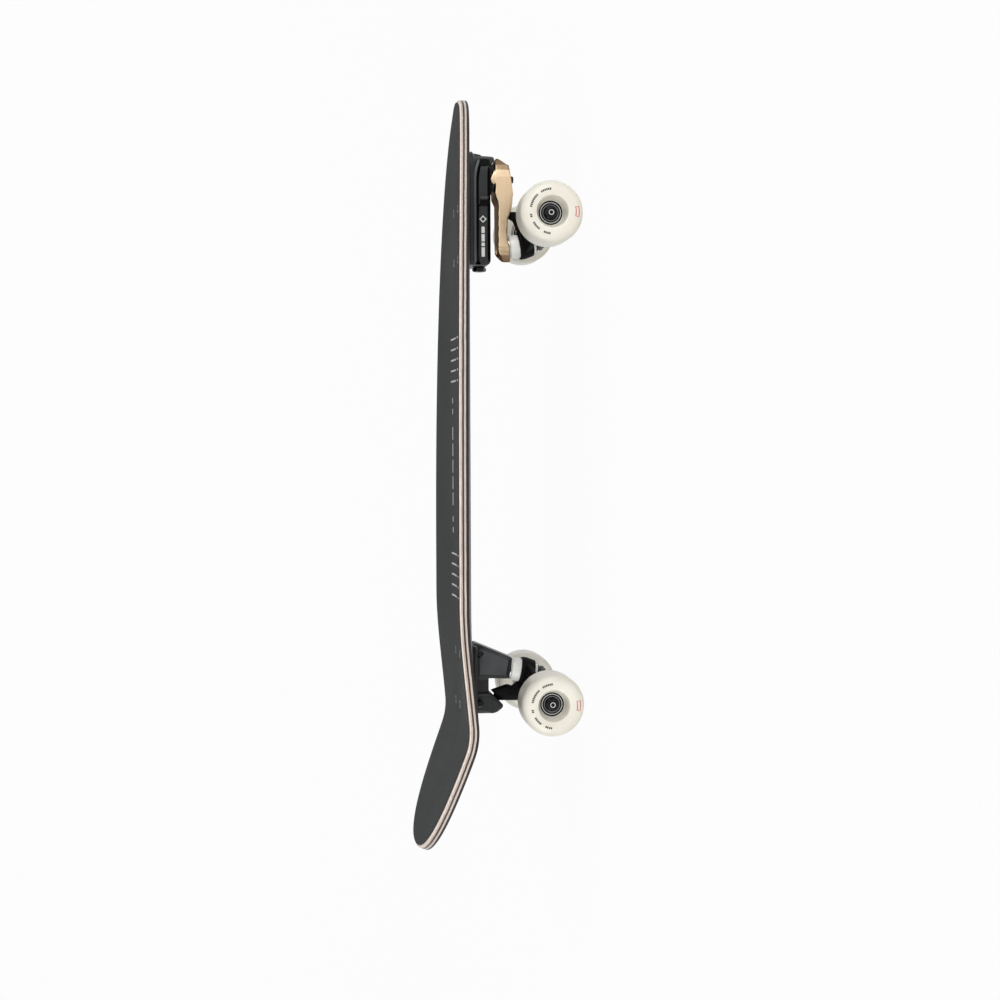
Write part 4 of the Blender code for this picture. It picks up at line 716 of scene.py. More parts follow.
def gold_look():
    """Blasted aluminium under a bronze gold anodic film, with painted shade: darker on faces turned to the
    nose or tail, nearly black on faces turned up.
    """
    look = Look("gold_anodised", (0.60, 0.44, 0.275), 0.38, 1.0)
    look.set(specular_tint=(0.42, 0.30, 0.21, 1.0))
    blast = look.noise(2600, 3.0, roughness=0.7)
    run = look.streaks((12.0, 60.0, 260.0), 3.0)
    colour = look.mix(look.spread(run, 0.3, 0.7), (0.665, 0.49, 0.312), (0.755, 0.57, 0.375))
    flecks_and_painted_shade = look.mix(look.spread(blast, 0.35, 0.75, 0.0, 0.3), colour, (0.80, 0.65, 0.48))
    # Painted shade: faces turned towards the nose or tail are darkened to brown.
    facing = look.node("SeparateXYZ", ((0, look.node("NewGeometry").outputs["Normal"]),))
    ends = look.sum("ABSOLUTE", facing.outputs[0], 0.0)
    cloud = look.spread(look.noise(70, 2.0), 0.3, 0.7, -0.06, 0.06)
    ends = look.spread(look.sum("ADD", ends, cloud), 0.09, 0.42, 0.0, 0.84)
    flecks_and_painted_shade = look.mix(ends, flecks_and_painted_shade, (0.15, 0.100, 0.060))
    # Painted shade: faces turned up go nearly black.
    flecks_and_painted_shade = look.mix(look.spread(facing.outputs[2], 0.45, 0.85, 0.0, 0.92), flecks_and_painted_shade, (0.035, 0.025, 0.018))
    normal = look.bump(blast, 0.12, 0.00012)
    return look.finish(flecks_and_painted_shade, look.spread(blast, 0.3, 0.7, 0.28, 0.42), normal)


def metal_look(name, low, high, rough):
    """Bright or blackened steel with fine tool marks and faint stains."""
    look = Look(name, high, rough[0], 1.0)
    marks = look.streaks((240.0, 240.0, 240.0), 4.0, 0.6)
    stain = look.noise(70, 4.0)
    colour = look.mix(look.spread(stain, 0.3, 0.72), high, low)
    worn = look.mix(look.spread(marks, 0.45, 0.8, 0.0, 0.5), colour, tuple(min(1, 1.25 * v) for v in high))
    normal = look.bump(marks, 0.10, 0.00015)
    return look.finish(worn, look.spread(stain, 0.3, 0.7, *rough), normal)


def urethane_look(name, low, high, rough=(0.30, 0.44), through=0.12):
    """Cast urethane: an even, slightly cloudy body with a satin skin and the mould's faint ripple."""
    look = Look(name, high, rough[0])
    look.set(subsurface_weight=through, subsurface_radius=(1.0, 0.8, 0.5), subsurface_scale=0.003)
    cloud = look.noise(45, 4.0)
    colour = look.mix(look.spread(cloud, 0.3, 0.7), low, high)
    speck = look.spread(look.noise(1500, 2.0), 0.70, 0.78, 0.0, 0.35)
    colour = look.mix(speck, colour, tuple(0.62 * v for v in low))
    normal = look.bump(look.noise(520, 3.0), 0.06, 0.0002, look.bump(look.noise(60, 2.0), 0.05, 0.0006))
    return look.finish(colour, look.spread(cloud, 0.3, 0.7, *rough), normal)


def plastic_look(name, low, high, rough=(0.45, 0.62), grain=1400, shine=0.25):
    """Moulded plastic or rubber with a fine stipple."""
    look = Look(name, high, rough[0])
    look.set(specular_ior_level=shine)
    stipple = look.noise(grain, 3.0, roughness=0.65)
    cloud = look.noise(40, 3.0)
    colour = look.mix(look.spread(cloud, 0.3, 0.7), low, high)
    colour = look.mix(look.spread(stipple, 0.4, 0.75, 0.0, 0.4), colour, tuple(1.9 * v for v in high))
    normal = look.bump(stipple, 0.22, 0.00018)
    return look.finish(colour, look.spread(stipple, 0.3, 0.7, *rough), normal)


def ink_look(name, colour, ground):
    """Ink laid on urethane, a little thin in places."""
    look = Look(name, colour, 0.5)
    thin = look.spread(look.noise(1100, 4.0, roughness=0.7), 0.55, 0.7, 0.0, 0.6)
    cover = look.mix(thin, colour, ground)
    normal = look.bump(look.noise(900, 3.0), 0.08, 0.0001)
    return look.finish(cover, look.spread(thin, 0.0, 0.6, 0.42, 0.6), normal)


GRIP = grip_look("grip_sheet", (0.022, 0.023, 0.023), (0.058, 0.060, 0.060))
GRIP_PRINT = grip_look("grip_print", (0.50, 0.50, 0.48), (0.74, 0.73, 0.70), printed=True)
PLY = ply_look()
PAINT = paint_look()
# Near black, darker than the other paint: painted shade, used for the hangers and the dark bands on the
# housing.
PAINTED_SHADE_BLACK = paint_look("painted_shade_black", (0.0035, 0.0035, 0.0036), (0.50, 0.62), 0.06)
# Pale paint for painted highlights: the rib under the housing's flange and the bar before its panel.
PAINTED_HIGHLIGHT = paint_look("painted_highlight_paint", (0.078, 0.086, 0.089), (0.30, 0.40))
SATIN = paint_look("satin_paint", (0.017, 0.0175, 0.018), (0.36, 0.48))
PANEL = paint_look("panel_paint", (0.052, 0.056, 0.060), (0.42, 0.55))
GOLD = gold_look()
STEEL = metal_look("zinc_steel", (0.50, 0.50, 0.49), (0.66, 0.66, 0.65), (0.22, 0.36))
DARK_STEEL = metal_look("black_steel", (0.012, 0.012, 0.0125), (0.030, 0.0295, 0.030), (0.30, 0.44))
CREAM = urethane_look("cream_urethane", (0.80, 0.765, 0.665), (0.865, 0.835, 0.745))
WHITE = urethane_look("white_urethane", (0.85, 0.85, 0.81), (0.90, 0.90, 0.865), through=0.2)
RUBBER = plastic_look("black_rubber", (0.016, 0.016, 0.017), (0.030, 0.030, 0.031), (0.6, 0.8))
NYLON = plastic_look("core_nylon", (0.003, 0.003, 0.003), (0.006, 0.006, 0.006), (0.5, 0.65), 2200, 0.08)
SEAL = metal_look("bearing_seal", (0.012, 0.012, 0.0125), (0.030, 0.030, 0.031), (0.34, 0.46))
SEAL_RIM = metal_look("seal_rim", (0.15, 0.15, 0.15), (0.24, 0.24, 0.24), (0.30, 0.42))
# Zinc steel made nearly black: painted shade for the kingpins, their nuts, the roadside washers and the
# thrust washer, which sit in shade.
SHADE_DARK_ZINC = metal_look("shade_dark_zinc", (0.045, 0.045, 0.046), (0.10, 0.10, 0.10), (0.34, 0.48))
# Near black and matt, for strips of painted shade under the housing's step and along its bottom edge.
PAINTED_SHADE_STRIPS = plastic_look("painted_shade_strips", (0.0015, 0.0015, 0.0016), (0.003, 0.003, 0.0031), (0.75, 0.9),
                      shine=0.03)
PALE_INK = ink_look("pale_ink", (0.72, 0.72, 0.70), (0.84, 0.84, 0.82))
INSERT = plastic_look("nut_insert", (0.05, 0.05, 0.052), (0.09, 0.09, 0.094), (0.4, 0.55), 2600)
DARK_INK = ink_look("dark_ink", (0.012, 0.011, 0.010), (0.10, 0.09, 0.08))
RED_INK = ink_look("red_ink", (0.55, 0.030, 0.045), (0.66, 0.12, 0.13))


# Deck, grip and bolts

KICK_START = KICK_CORNER + KICK_RADIUS * math.tan(KICK_ANGLE / 2)
KICK_END = KICK_START - KICK_RADIUS * math.sin(KICK_ANGLE)
NOSE_TIP = DECK_AHEAD + DECK_LENGTH / 2
TAIL_TIP = DECK_AHEAD - DECK_LENGTH / 2
GRIP_TOP = DECK_UNDERSIDE + DECK_THICKNESS + GAP + GRIP_THICKNESS
RISER_TOP = DECK_UNDERSIDE - GAP
FLANGE_TOP = RISER_TOP - RISER_THICKNESS - GAP
FLANGE_BOTTOM = FLANGE_TOP - FLANGE_THICKNESS
HOUSING_TOP = DECK_UNDERSIDE - GAP
HOUSING_SEAT = HOUSING_TOP - HOUSING_FLANGE

NOSE_STATIONS = 64
TAIL_STATIONS = 60
KICK_STEPS = 14
SIDE_STEPS = 12
EDGE_STEPS = 4
UNDER_POWER = 1.3  # of the underside's rise to its rim
PRINT_LIFT = 0.11 * MM
BOLT_SOCKET = 3.2 * MM
SOCKET_DEPTH = 2.0 * MM

# Printed strokes: two ladders of cross bars, and a broken line down each side, its ends in millimetres
LADDER_BARS = 5
LADDER_STEP = 11.5 * MM
LADDER_STARTS = (104 * MM, -131 * MM)
LADDER_REACH = (6 * MM, 46 * MM)
BAR_HALF = 0.95 * MM
DASH_SIDE = 37 * MM
DASHES = ((54, 40), (36, 22), (18, 4), (0, -14), (-18, -32), (86, 80), (74, 68), (-44, -50), (-56, -62))


def spine(x):
    """The point of the deck's underside over x, and the way up from it there."""
    if x >= KICK_START:
        return Vector((x, 0, DECK_UNDERSIDE)), Z_AXIS
    turn = min(math.asin(min((KICK_START - x) / KICK_RADIUS, 1)), KICK_ANGLE)
    rise = KICK_RADIUS * (1 - math.cos(turn)) + max(KICK_END - x, 0) * math.tan(KICK_ANGLE)
    return Vector((x, 0, DECK_UNDERSIDE + rise)), Vector((math.sin(turn), 0, math.cos(turn)))


def concave(x, y):
    """How far the deck stands over its middle strip at a place."""
    low, high = CONCAVE_FADE
    fade = min(max((x - low) / (high - low), 0), 1)
    fade = fade * fade * (3 - 2 * fade)
    aside = max(abs(y) - FLAT_HALF, 0) / (DECK_WIDTH / 2 - FLAT_HALF)
    return CONCAVE * fade * aside ** CONCAVE_POWER


def tip_of(x):
    return NOSE_TIP if x > WIDEST_AT else TAIL_TIP


def half_width(x):
    """Half of the deck's width at x, from the outline's two curves."""
    bend, power = NOSE_SHAPE if x > WIDEST_AT else TAIL_SHAPE
    share = min((x - WIDEST_AT) / (tip_of(x) - WIDEST_AT), 1)
    return max(DECK_WIDTH / 2 * (1 - share ** bend) ** power, TIP_HALF)


def stations():
    found = [WIDEST_AT]
    for tip, count in ((NOSE_TIP, NOSE_STATIONS), (TAIL_TIP, TAIL_STATIONS)):
        found += [WIDEST_AT + (tip - WIDEST_AT) * sine for sine, _ in quarter(count)[1:]]
    found = [x for x in found if not KICK_END - MM < x < KICK_START + MM]
    for k in range(KICK_STEPS + 1):
        found.append(KICK_START - KICK_RADIUS * math.sin(KICK_ANGLE * k / KICK_STEPS))
    return sorted(found, reverse=True)


def shares():
    """Places across the deck, as shares of its half width."""
    flat = FLAT_HALF / (DECK_WIDTH / 2)
    side = [flat + (1 - flat) * k / SIDE_STEPS for k in range(SIDE_STEPS + 1)]
    return [-s for s in reversed(side)] + [-flat / 2, 0, flat / 2] + side


def surface(x, y, height):
    """The point of the deck over a place along its spine, at a height over its underside."""
    place, up = spine(x)
    return place + Y_AXIS * y + up * (height + concave(x, y))


def filling(x, y, rim):
    """How far the underside is raised between its flat strip and its rim, to look as slim as the real one."""
    aside = abs(y) - FLAT_HALF
    if aside <= 0 or rim <= FLAT_HALF or aside >= rim - FLAT_HALF:
        return 0.0
    return concave(x, rim) * (aside / (rim - FLAT_HALF)) ** UNDER_POWER - concave(x, y)


def layer(shape, edge, height, filled=False):
    """Rows of points across the deck at a height, drawn in from its outline by edge."""
    rows = []
    for x in stations():
        half = half_width(x) - edge
        drawn_in = WIDEST_AT + (x - WIDEST_AT) * (1 - edge / abs(tip_of(x) - WIDEST_AT))
        row = []
        for y in (share * half for share in shares()):
            rise = filling(drawn_in, y, half) if filled else 0.0
            row.append(shape.verts.new(surface(drawn_in, y, height + rise)))
        rows.append(row)
    return rows


def rim_of(rows):
    right = [row[0] for row in rows]
    left = [row[-1] for row in reversed(rows)]
    return right + rows[-1][1:-1] + left + rows[0][-2:0:-1]


def board(layers, filled=False):
    """The mesh of a bent sheet with its bolt holes, through layers given as (edge, height)."""
    shape = bmesh.new()
    made = [layer(shape, *layers[0], filled), *(layer(shape, *place) for place in layers[1:])]
    for rows in (made[0], made[-1]):
        skin(shape, rows, ring=False)
    skin(shape, [rim_of(rows) for rows in made])
    holes = [bolt_hole(x, y) for x, y in bolt_places(REAR_BOLTS_X) + bolt_places(FRONT_BOLTS_X)]
    return cut(mesh_of(shape), [merged(holes)])


def ply_height(point):
    """How far a point of the deck lies over the underside, measured square to it."""
    x, y, z = point
    back, over = KICK_START - x, z - DECK_UNDERSIDE
    if back <= 0:
        height = over - concave(x, y)
        return 0.0 if height < filling(x, y, half_width(x) - DECK_EDGE) + 0.05 * MM else height
    turn = math.atan2(back, KICK_RADIUS - over)
    if turn < KICK_ANGLE:
        level = KICK_RADIUS - math.hypot(back, KICK_RADIUS - over)
        return level - concave(KICK_START - KICK_RADIUS * math.sin(turn), y)
    end, up = spine(KICK_END)
    return (Vector((x, 0, z)) - end).dot(up) - concave(x, y)


def make_deck():
    edges = [(DECK_EDGE * (1 - sine), DECK_EDGE * (1 - cosine)) for sine, cosine in quarter(EDGE_STEPS)]
    mesh = board(edges + [(drawn_in, DECK_THICKNESS - height) for drawn_in, height in reversed(edges)], True)
    heights = mesh.attributes.new("ply", "FLOAT", "POINT")
    heights.data.foreach_set("value", [ply_height(v.co) / MM for v in mesh.vertices])
    piece("deck_plies", mesh, PLY, "board", "deck", 50)
    low, high = DECK_THICKNESS + GAP, DECK_THICKNESS + GAP + GRIP_THICKNESS
    edge, bevel = DECK_EDGE + GRIP_INSET, 0.25 * MM
    mesh = board([(edge, low), (edge, high - bevel), (edge + bevel, high)])
    piece("grip_sheet_fine", mesh, GRIP, "board", "grip_tape", 40)


def print_strip(shape, points, half):
    """A thin printed stroke along points on the grip, drawn as (x, y) in metres."""
    high = DECK_THICKNESS + GAP + GRIP_THICKNESS + PRINT_LIFT
    rows = []
    for k, (x, y) in enumerate(points):
        before, after = points[max(k - 1, 0)], points[min(k + 1, len(points) - 1)]
        run = Vector((after[0] - before[0], after[1] - before[1])).normalized()
        side = Vector((-run.y, run.x)) * half
        corners = [(x - side.x, y - side.y), (x + side.x, y + side.y)]
        levels = (high, high - 3 * PRINT_LIFT)
        top, foot = ([shape.verts.new(surface(a, b, level)) for a, b in corners] for level in levels)
        rows.append([top[0], top[1], foot[1], foot[0]])
    skin(shape, rows, caps=True)


def make_prints():
    shape = bmesh.new()
    inner, outer = LADDER_REACH
    for start in LADDER_STARTS:
        for k in range(LADDER_BARS):
            x = start + k * LADDER_STEP
            for side in (1, -1):
                print_strip(shape, line((x, side * inner), (x, side * outer), 10), BAR_HALF)
    for start, end in DASHES:
        for side in (1, -1):
            points = line((start * MM, side * DASH_SIDE), (end * MM, side * DASH_SIDE), 6)
            print_strip(shape, points, 1.7 * BAR_HALF)
    piece("grip_print", shape, GRIP_PRINT, "board")


def bolt_places(middle):
    return [(middle + a * BOLT_ALONG / 2, b * BOLT_ACROSS / 2) for a in (1, -1) for b in (1, -1)]


def bolt_hole(x, y):
    head, shank = BOLT_HEAD / 2 + GAP, BOLT_SHANK / 2 + BOLT_PLAY
    high, low = GRIP_TOP + THROUGH, DECK_UNDERSIDE - THROUGH
    profile = [(0, high), (head, high), (head, GRIP_TOP), (shank, GRIP_TOP - head + shank)]
    return turned(profile + [(shank, low), (0, low)], 32, at(x, y))


def bolt_profile(seat):
    """A countersunk bolt with a six-sided socket and turned thread crests under its lock nut."""
    head, shank, socket = BOLT_HEAD / 2, BOLT_SHANK / 2, BOLT_SOCKET / 2
    tip, top = seat - GAP - LOCK_NUT_HEIGHT - BOLT_TIP, GRIP_TOP
    profile = [(0, top - SOCKET_DEPTH), (socket, top - SOCKET_DEPTH, 6), (socket, top - 0.25 * MM, 6)]
    profile += [(socket + 0.4 * MM, top), (head - 0.35 * MM, top), (head, top - 0.3 * MM)]
    profile += [(shank, top - 0.3 * MM - head + shank)]
    z = seat
    while z > tip + 0.9 * MM:
        profile += [(shank, z), (shank - 0.22 * MM, z - 0.28 * MM)]
        z -= 0.56 * MM
    return profile + [(shank - 0.4 * MM, tip), (0, tip)]


def make_lock_nut(node, width, bore, low, high, place, material, body, down=False, own="", turn=Matrix()):
    """A hex nut with its corners turned off and a rounded collar, which holds a plastic ring.

    It stands for its node, unless it has a name of its own. Down puts the collar at its low end.
    """
    flat, hole, rise = width / 2, bore / 2 + 0.15 * MM, high - low
    collar = low + 0.30 * rise
    profile = [(hole, low + 0.1 * rise), (hole + 0.9 * MM, low + 0.04 * rise), (flat * 0.72, low)]
    profile += [(flat * 0.86, low + 0.05 * rise), (flat * 0.90, low + 0.14 * rise), (flat * 0.90, collar)]
    profile += [(flat * 0.97, collar + 0.01 * rise), (flat, collar + 0.09 * rise, 6)]
    profile += [(flat, high - 0.10 * rise, 6), (flat * 0.97, high)]
    profile += [(hole + 0.4 * MM, high), (hole, high - 0.4 * MM)]
    hole = bore / 2 - 0.05 * MM
    insert = [(hole, low + 0.12 * rise), (hole + 1.0 * MM, low + 0.10 * rise)]
    insert += [(hole + 1.0 * MM, low + 0.25 * rise), (hole, low + 0.25 * rise)]
    if not down:
        profile, insert = ([(p[0], low + high - p[1], *p[2:]) for p in side] for side in (profile, insert))
    nut = (own, None) if own else (f"{node}_fine", node)
    lathe(nut[0], profile, SMALL_ROUND, place @ turn, material, body, nut[1], 25)
    lathe(f"{node}_insert", insert, 32, place, INSERT, body)


def make_bolts():
    sides = ("front_left", "front_right", "rear_left", "rear_right")
    for name, middle, seat in (("rear", REAR_BOLTS_X, FLANGE_BOTTOM), ("front", FRONT_BOLTS_X, HOUSING_SEAT)):
        for side, (x, y) in zip(sides, bolt_places(middle)):
            node, place, high = f"{name}_bolt_{side}", at(x, y), seat - GAP
            fine(node, bolt_profile(seat), 36, place, DARK_STEEL, "board", 30)
            flat_outward = Matrix.Rotation(math.radians(30), 4, "Z")
            make_lock_nut(node, LOCK_NUT_WIDTH, BOLT_SHANK, high - LOCK_NUT_HEIGHT, high, place, DARK_STEEL,
                          "board", True, f"{node}_lock_nut", flat_outward)


# Trucks

KINGPIN_DOWN = Vector((-math.sin(KINGPIN_TILT), 0, -math.cos(KINGPIN_TILT)))
KINGPIN_PLACE = along(KINGPIN_DOWN, KINGPIN_FACE)
CUP_WASHER_AT = GAP
UPPER_BUSHING_AT = CUP_WASHER_AT + WASHER_THICKNESS + GAP
RING_AT = UPPER_BUSHING_AT + UPPER_BUSHING[1] + GAP
LOWER_BUSHING_AT = RING_AT + RING_WEB + GAP
LOW_WASHER_AT = LOWER_BUSHING_AT + LOWER_BUSHING[2] + GAP
KINGPIN_NUT_AT = LOW_WASHER_AT + WASHER_THICKNESS + GAP
KINGPIN_NUT_END = KINGPIN_NUT_AT + KINGPIN_NUT_HEIGHT
KINGPIN_BORE = KINGPIN_DIAMETER + 2 * BUSHING_PLAY
CUP_OUTER = STEM_BALL / 2 + GAP + CUP_WALL
INNER_BEARING_AT = HANGER_HALF + GAP
SPACER_AT = INNER_BEARING_AT + BEARING_WIDTH + GAP
OUTER_BEARING_AT = SPACER_AT + SPACER_LENGTH + GAP
AXLE_NUT_AT = OUTER_BEARING_AT + BEARING_WIDTH + GAP
AXLE_NUT_END = AXLE_NUT_AT + AXLE_NUT_HEIGHT
AXLE_END = AXLE_NUT_END + AXLE_TIP
WHEEL_AT = SPACER_AT + SPACER_LENGTH / 2 + HUB_OFFSET

HANGER_CAST = (0.85 * MM, 5)  # voxel and smoothing passes
COLLAR = (1.9 * MM, 6.4 * MM, 3.2 * MM)  # of the rear stem: off its socket, radius and shift inboard
REAR_ROOT_SHIFT = Vector((4 * MM, 0, 2 * MM))
WEB_SIDE = 3.5 * MM  # half thickness of the web beside the ring
SKIRT = (7.2 * MM, 12.9 * MM)  # of the hanger round its lower bushing: length, and radius at its end
RING_GRIP = (3.0 * MM, 4.5 * MM)  # how much of each bushing, at its ring, turns with the hanger
UPPER_ROOM = 1.3 * MM  # of each bushing round the kingpin at its ring, where it leans
LOWER_ROOM = 2.6 * MM
BORE_STEPS = 10


class Pivot:
    """The ball joint at a stem's end: its mouth, the way in and the middle of the ball."""

    def __init__(self, mouth, inward, depth, root):
        self.mouth = mouth
        self.way = Vector((math.cos(inward), 0, math.sin(inward)))
        self.depth = depth
        self.middle = mouth + self.way * depth
        self.root = root
        self.length = depth + CUP_OUTER


REAR_PIVOT = Pivot(REAR_PIVOT_FACE, REAR_PIVOT_INWARD, REAR_PIVOT_DEPTH, REAR_STEM_ROOT)
FRONT_PIVOT = Pivot(FRONT_PIVOT_FACE, FRONT_PIVOT_INWARD, FRONT_PIVOT_DEPTH, FRONT_STEM_ROOT)


def kingpin_grip(height):
    """How far up the kingpin its head sits, for the head to lie just under a level surface."""
    level = (height - KINGPIN_FACE.z) / math.cos(KINGPIN_TILT)
    return level - KINGPIN_HEAD_HEIGHT - KINGPIN_HEAD / 2 * math.tan(KINGPIN_TILT) - GAP


def make_kingpin(end, body, grip):
    place = place_of(end) @ KINGPIN_PLACE
    radius, head = KINGPIN_DIAMETER / 2, KINGPIN_HEAD / 2
    top, tip = -grip - KINGPIN_HEAD_HEIGHT, KINGPIN_NUT_END + KINGPIN_TIP
    profile = [(0, top + 0.6 * MM), (head * 0.6, top + 0.3 * MM), (head - BEVEL, top), (head, top + BEVEL, 6)]
    profile += [(head, -grip, 6), (radius + 0.4 * MM, -grip), (radius, 0.5 * MM - grip)]
    threads(profile, radius, LOWER_BUSHING_AT, tip - BEVEL, 1.2 * MM, 0.5 * MM)
    profile += [(radius - BEVEL, tip), (1.2 * MM, tip), (0, tip - 0.6 * MM)]
    node = f"{end}_kingpin"
    fine(node, profile, SMALL_ROUND, place, SHADE_DARK_ZINC, body, 25)
    span = (KINGPIN_NUT_AT, KINGPIN_NUT_END)
    make_lock_nut(f"{node}_nut", KINGPIN_NUT_WIDTH, KINGPIN_DIAMETER, *span, place, SHADE_DARK_ZINC, body)


def rim_round(outer, level, size, way):
    """Points of a rounded outer edge. Way is 1 where the profile runs upwards there, or -1."""
    return [(outer - size * (1 - sine), level + way * size * (1 - cosine)) for sine, cosine in quarter(5)]


def bushing_profile(bores, low, high, wide, narrow, bulge, size):
    """A moulded bushing with soft edges and, if it has a bulge, a barrel side."""
    profile = [(bores[0], low), *rim_round(wide, low, size, 1)]
    for k in range(1, BORE_STEPS):
        share = k / BORE_STEPS
        radius = wide + (narrow - wide) * share + bulge * math.sin(math.pi * share)
        profile.append((radius, low + size + (high - low - 2 * size) * share))
    profile += reversed(rim_round(narrow, high, size, -1))
    return profile + line((bores[1], high), (bores[0], low), BORE_STEPS)[:-1]


def make_washer(node, low, outer, cup, place, material, body):
    """A pressed washer whose rim is turned up towards its bushing by cup."""
    high, bore, rim = low + WASHER_THICKNESS, KINGPIN_BORE / 2, outer - 2.2 * MM
    thick = high - low
    lift = cup * 0.55 * thick
    profile = [(bore, low), (rim, low), (outer - 0.4 * MM, low + max(lift, 0)), (outer, low + 0.35 * thick)]
    profile += [(outer, high - 0.35 * thick), (outer - 0.4 * MM, high + min(lift, 0))]
    profile += [(rim, high), (bore, high)]
    fine(node, profile, ROUND, place, material, body)


def make_stack(end, upper, body):
    """The washers and bushings on a kingpin, each bushing a soft piece between its holder and the hanger's
    ring.
    """
    place = place_of(end) @ KINGPIN_PLACE

    def bent(node, profile, *depths):
        ends = [place @ Vector((0, 0, depth)) for depth in depths]
        fine(node, profile, ROUND, place, WHITE, (body, f"{end}_axle_assembly", *ends), 60)

    make_washer(f"{end}_{upper}_washer", CUP_WASHER_AT, CUP_WASHER / 2, 1, place, STEEL, body)
    make_washer(f"{end}_roadside_washer", LOW_WASHER_AT, LOW_WASHER / 2, -1, place, SHADE_DARK_ZINC, body)
    bore, wide = KINGPIN_BORE / 2, UPPER_BUSHING[0] / 2 - 0.2 * MM
    low, high = UPPER_BUSHING_AT, UPPER_BUSHING_AT + UPPER_BUSHING[1]
    profile = bushing_profile((bore, bore + UPPER_ROOM), low, high, wide, wide, 0.3 * MM, 1.6 * MM)
    bent(f"{end}_{upper}_bushing", profile, low + 0.5 * MM, high - RING_GRIP[0])
    wide, narrow, height = LOWER_BUSHING
    low, high = LOWER_BUSHING_AT, LOWER_BUSHING_AT + height
    profile = bushing_profile((bore + LOWER_ROOM, bore), low, high, wide / 2, narrow / 2, 0.0, 1.0 * MM)
    bent(f"{end}_roadside_bushing", profile, high, low + RING_GRIP[1])


def make_pivot_cup(end, pivot, body):
    seat = STEM_BALL / 2 + GAP
    mouth = seat + CUP_MOUTH
    profile = [(0, pivot.length), (CUP_OUTER - 0.5 * MM, pivot.length), (CUP_OUTER, pivot.length - 0.5 * MM)]
    profile += [(CUP_OUTER, 0.3 * MM), (CUP_OUTER - 0.3 * MM, 0), (mouth + 0.3 * MM, 0), (mouth, 0.3 * MM)]
    profile += [(seat * cosine, pivot.depth + seat * sine) for sine, cosine in quarter(10)[:-1]]
    profile.append((0, pivot.depth + seat))
    place = place_of(end) @ along(pivot.way, pivot.mouth)
    fine(f"{end}_pivot_cup", profile, SMALL_ROUND, place, RUBBER, body)


def make_hanger(end, pivot, body):
    """The hanger as a casting with rounded joins, then machined at its bores and end faces."""
    place = place_of(end)
    tube_end, middle = TUBE_END / 2, TUBE_MIDDLE / 2
    half, thick = HANGER_HALF + MM, TUBE_THICK_HALF
    profile = [(0, -half), (tube_end, -half), (tube_end, 3 * MM - half), (middle, -thick)]
    profile += [(middle, thick), (tube_end, half - 3 * MM), (tube_end, half), (0, half)]
    rim, low = RING_AT - RING_LIP, RING_AT + RING_WEB
    outer = RING_OUTER / 2 + 0.2 * MM
    skirt = low + SKIRT[0]
    ring = [(0, rim - 0.3 * MM), (outer, rim - 0.3 * MM), (outer, low - 3 * MM), (outer - 0.5 * MM, low)]
    ring += [(outer - 1.4 * MM, low + 0.55 * SKIRT[0]), (SKIRT[1], skirt - 0.8 * MM)]
    ring += [(SKIRT[1] - 0.8 * MM, skirt), (0, skirt)]
    shapes = [turned(profile, ROUND, along(Y_AXIS)), turned(ring, ROUND, KINGPIN_PLACE)]
    foot = []
    for side in (1, -1):
        out = Y_AXIS * side
        points = disc(out * WING_HALF, out, WING_TIP / 2, 24)
        for depth, drawn_in in zip((RING_AT + BEVEL, low - BEVEL), WING_INSET):
            points += disc(KINGPIN_FACE + KINGPIN_DOWN * depth, KINGPIN_DOWN, outer - drawn_in, 32)
        shapes.append(hull(points))
        foot += ball(out * WEB_FOOT_HALF, middle - BEVEL, 16)
    root, neck = ball(pivot.root, STEM_ROOT / 2, 16), ball(pivot.mouth, STEM_NECK / 2 + 0.1 * MM, 16)
    shapes += [hull(foot + root), hull(root + neck), hull(neck + ball(pivot.middle, STEM_NECK / 2, 16))]
    if end == "rear":
        spot = pivot.mouth - pivot.way * COLLAR[0] + Vector((-pivot.way.x, 0, pivot.way.z)) * COLLAR[2]
        fat = ball(pivot.root + REAR_ROOT_SHIFT, STEM_ROOT / 2, 16)
        shapes.append(hull(fat + disc(spot, pivot.way, COLLAR[1], 32)))
    shapes.append(hull(web_corners(pivot, outer)))
    mesh = cast([moved(shape, place) for shape in shapes], *HANGER_CAST)

    cup, hole, scoop = UPPER_BUSHING[0] / 2 + BUSHING_PLAY, RING_HOLE / 2, NUT_SCOOP / 2
    high, deep = rim - 2 * RING_LIP, KINGPIN_NUT_END + 2 * TUBE_MIDDLE
    bore = [(0, high), (cup + BEVEL, high), (cup + BEVEL, rim), (cup, rim + BEVEL), (cup, RING_AT)]
    bore += [(hole, RING_AT), (hole, low), (scoop, low), (scoop, deep), (0, deep)]
    cutters = [turned(bore, ROUND, place @ KINGPIN_PLACE)]
    face, reach = HANGER_HALF, HANGER_HALF + 2 * THROUGH
    hole = AXLE_DIAMETER / 2 + 0.1 * MM
    trim = [(hole, face - 0.5 * MM), (hole + 0.5 * MM, face), (2 * middle, face), (2 * middle, reach)]
    trim += [(0, reach), (0, face - 4 * MM), (hole, face - 4 * MM)]
    cutters += [turned(trim, SMALL_ROUND, place @ along(Y_AXIS * side)) for side in (1, -1)]
    # The hanger's paint is darkened to stand for the shade it hangs in: painted shade.
    piece(f"{end}_hanger_cast", cut(mesh, cutters), PAINTED_SHADE_BLACK, body, f"{end}_hanger", 38)
    radius = STEM_BALL / 2
    turns = [math.pi * k / 16 for k in range(1, 16)]
    knob = [(radius * math.sin(turn), -radius * math.cos(turn)) for turn in turns]
    knob = [(0, -radius), *knob, (0, radius)]
    lathe(f"{end}_hanger_ball", knob, SMALL_ROUND, place @ along(pivot.way, pivot.middle), STEEL, body)


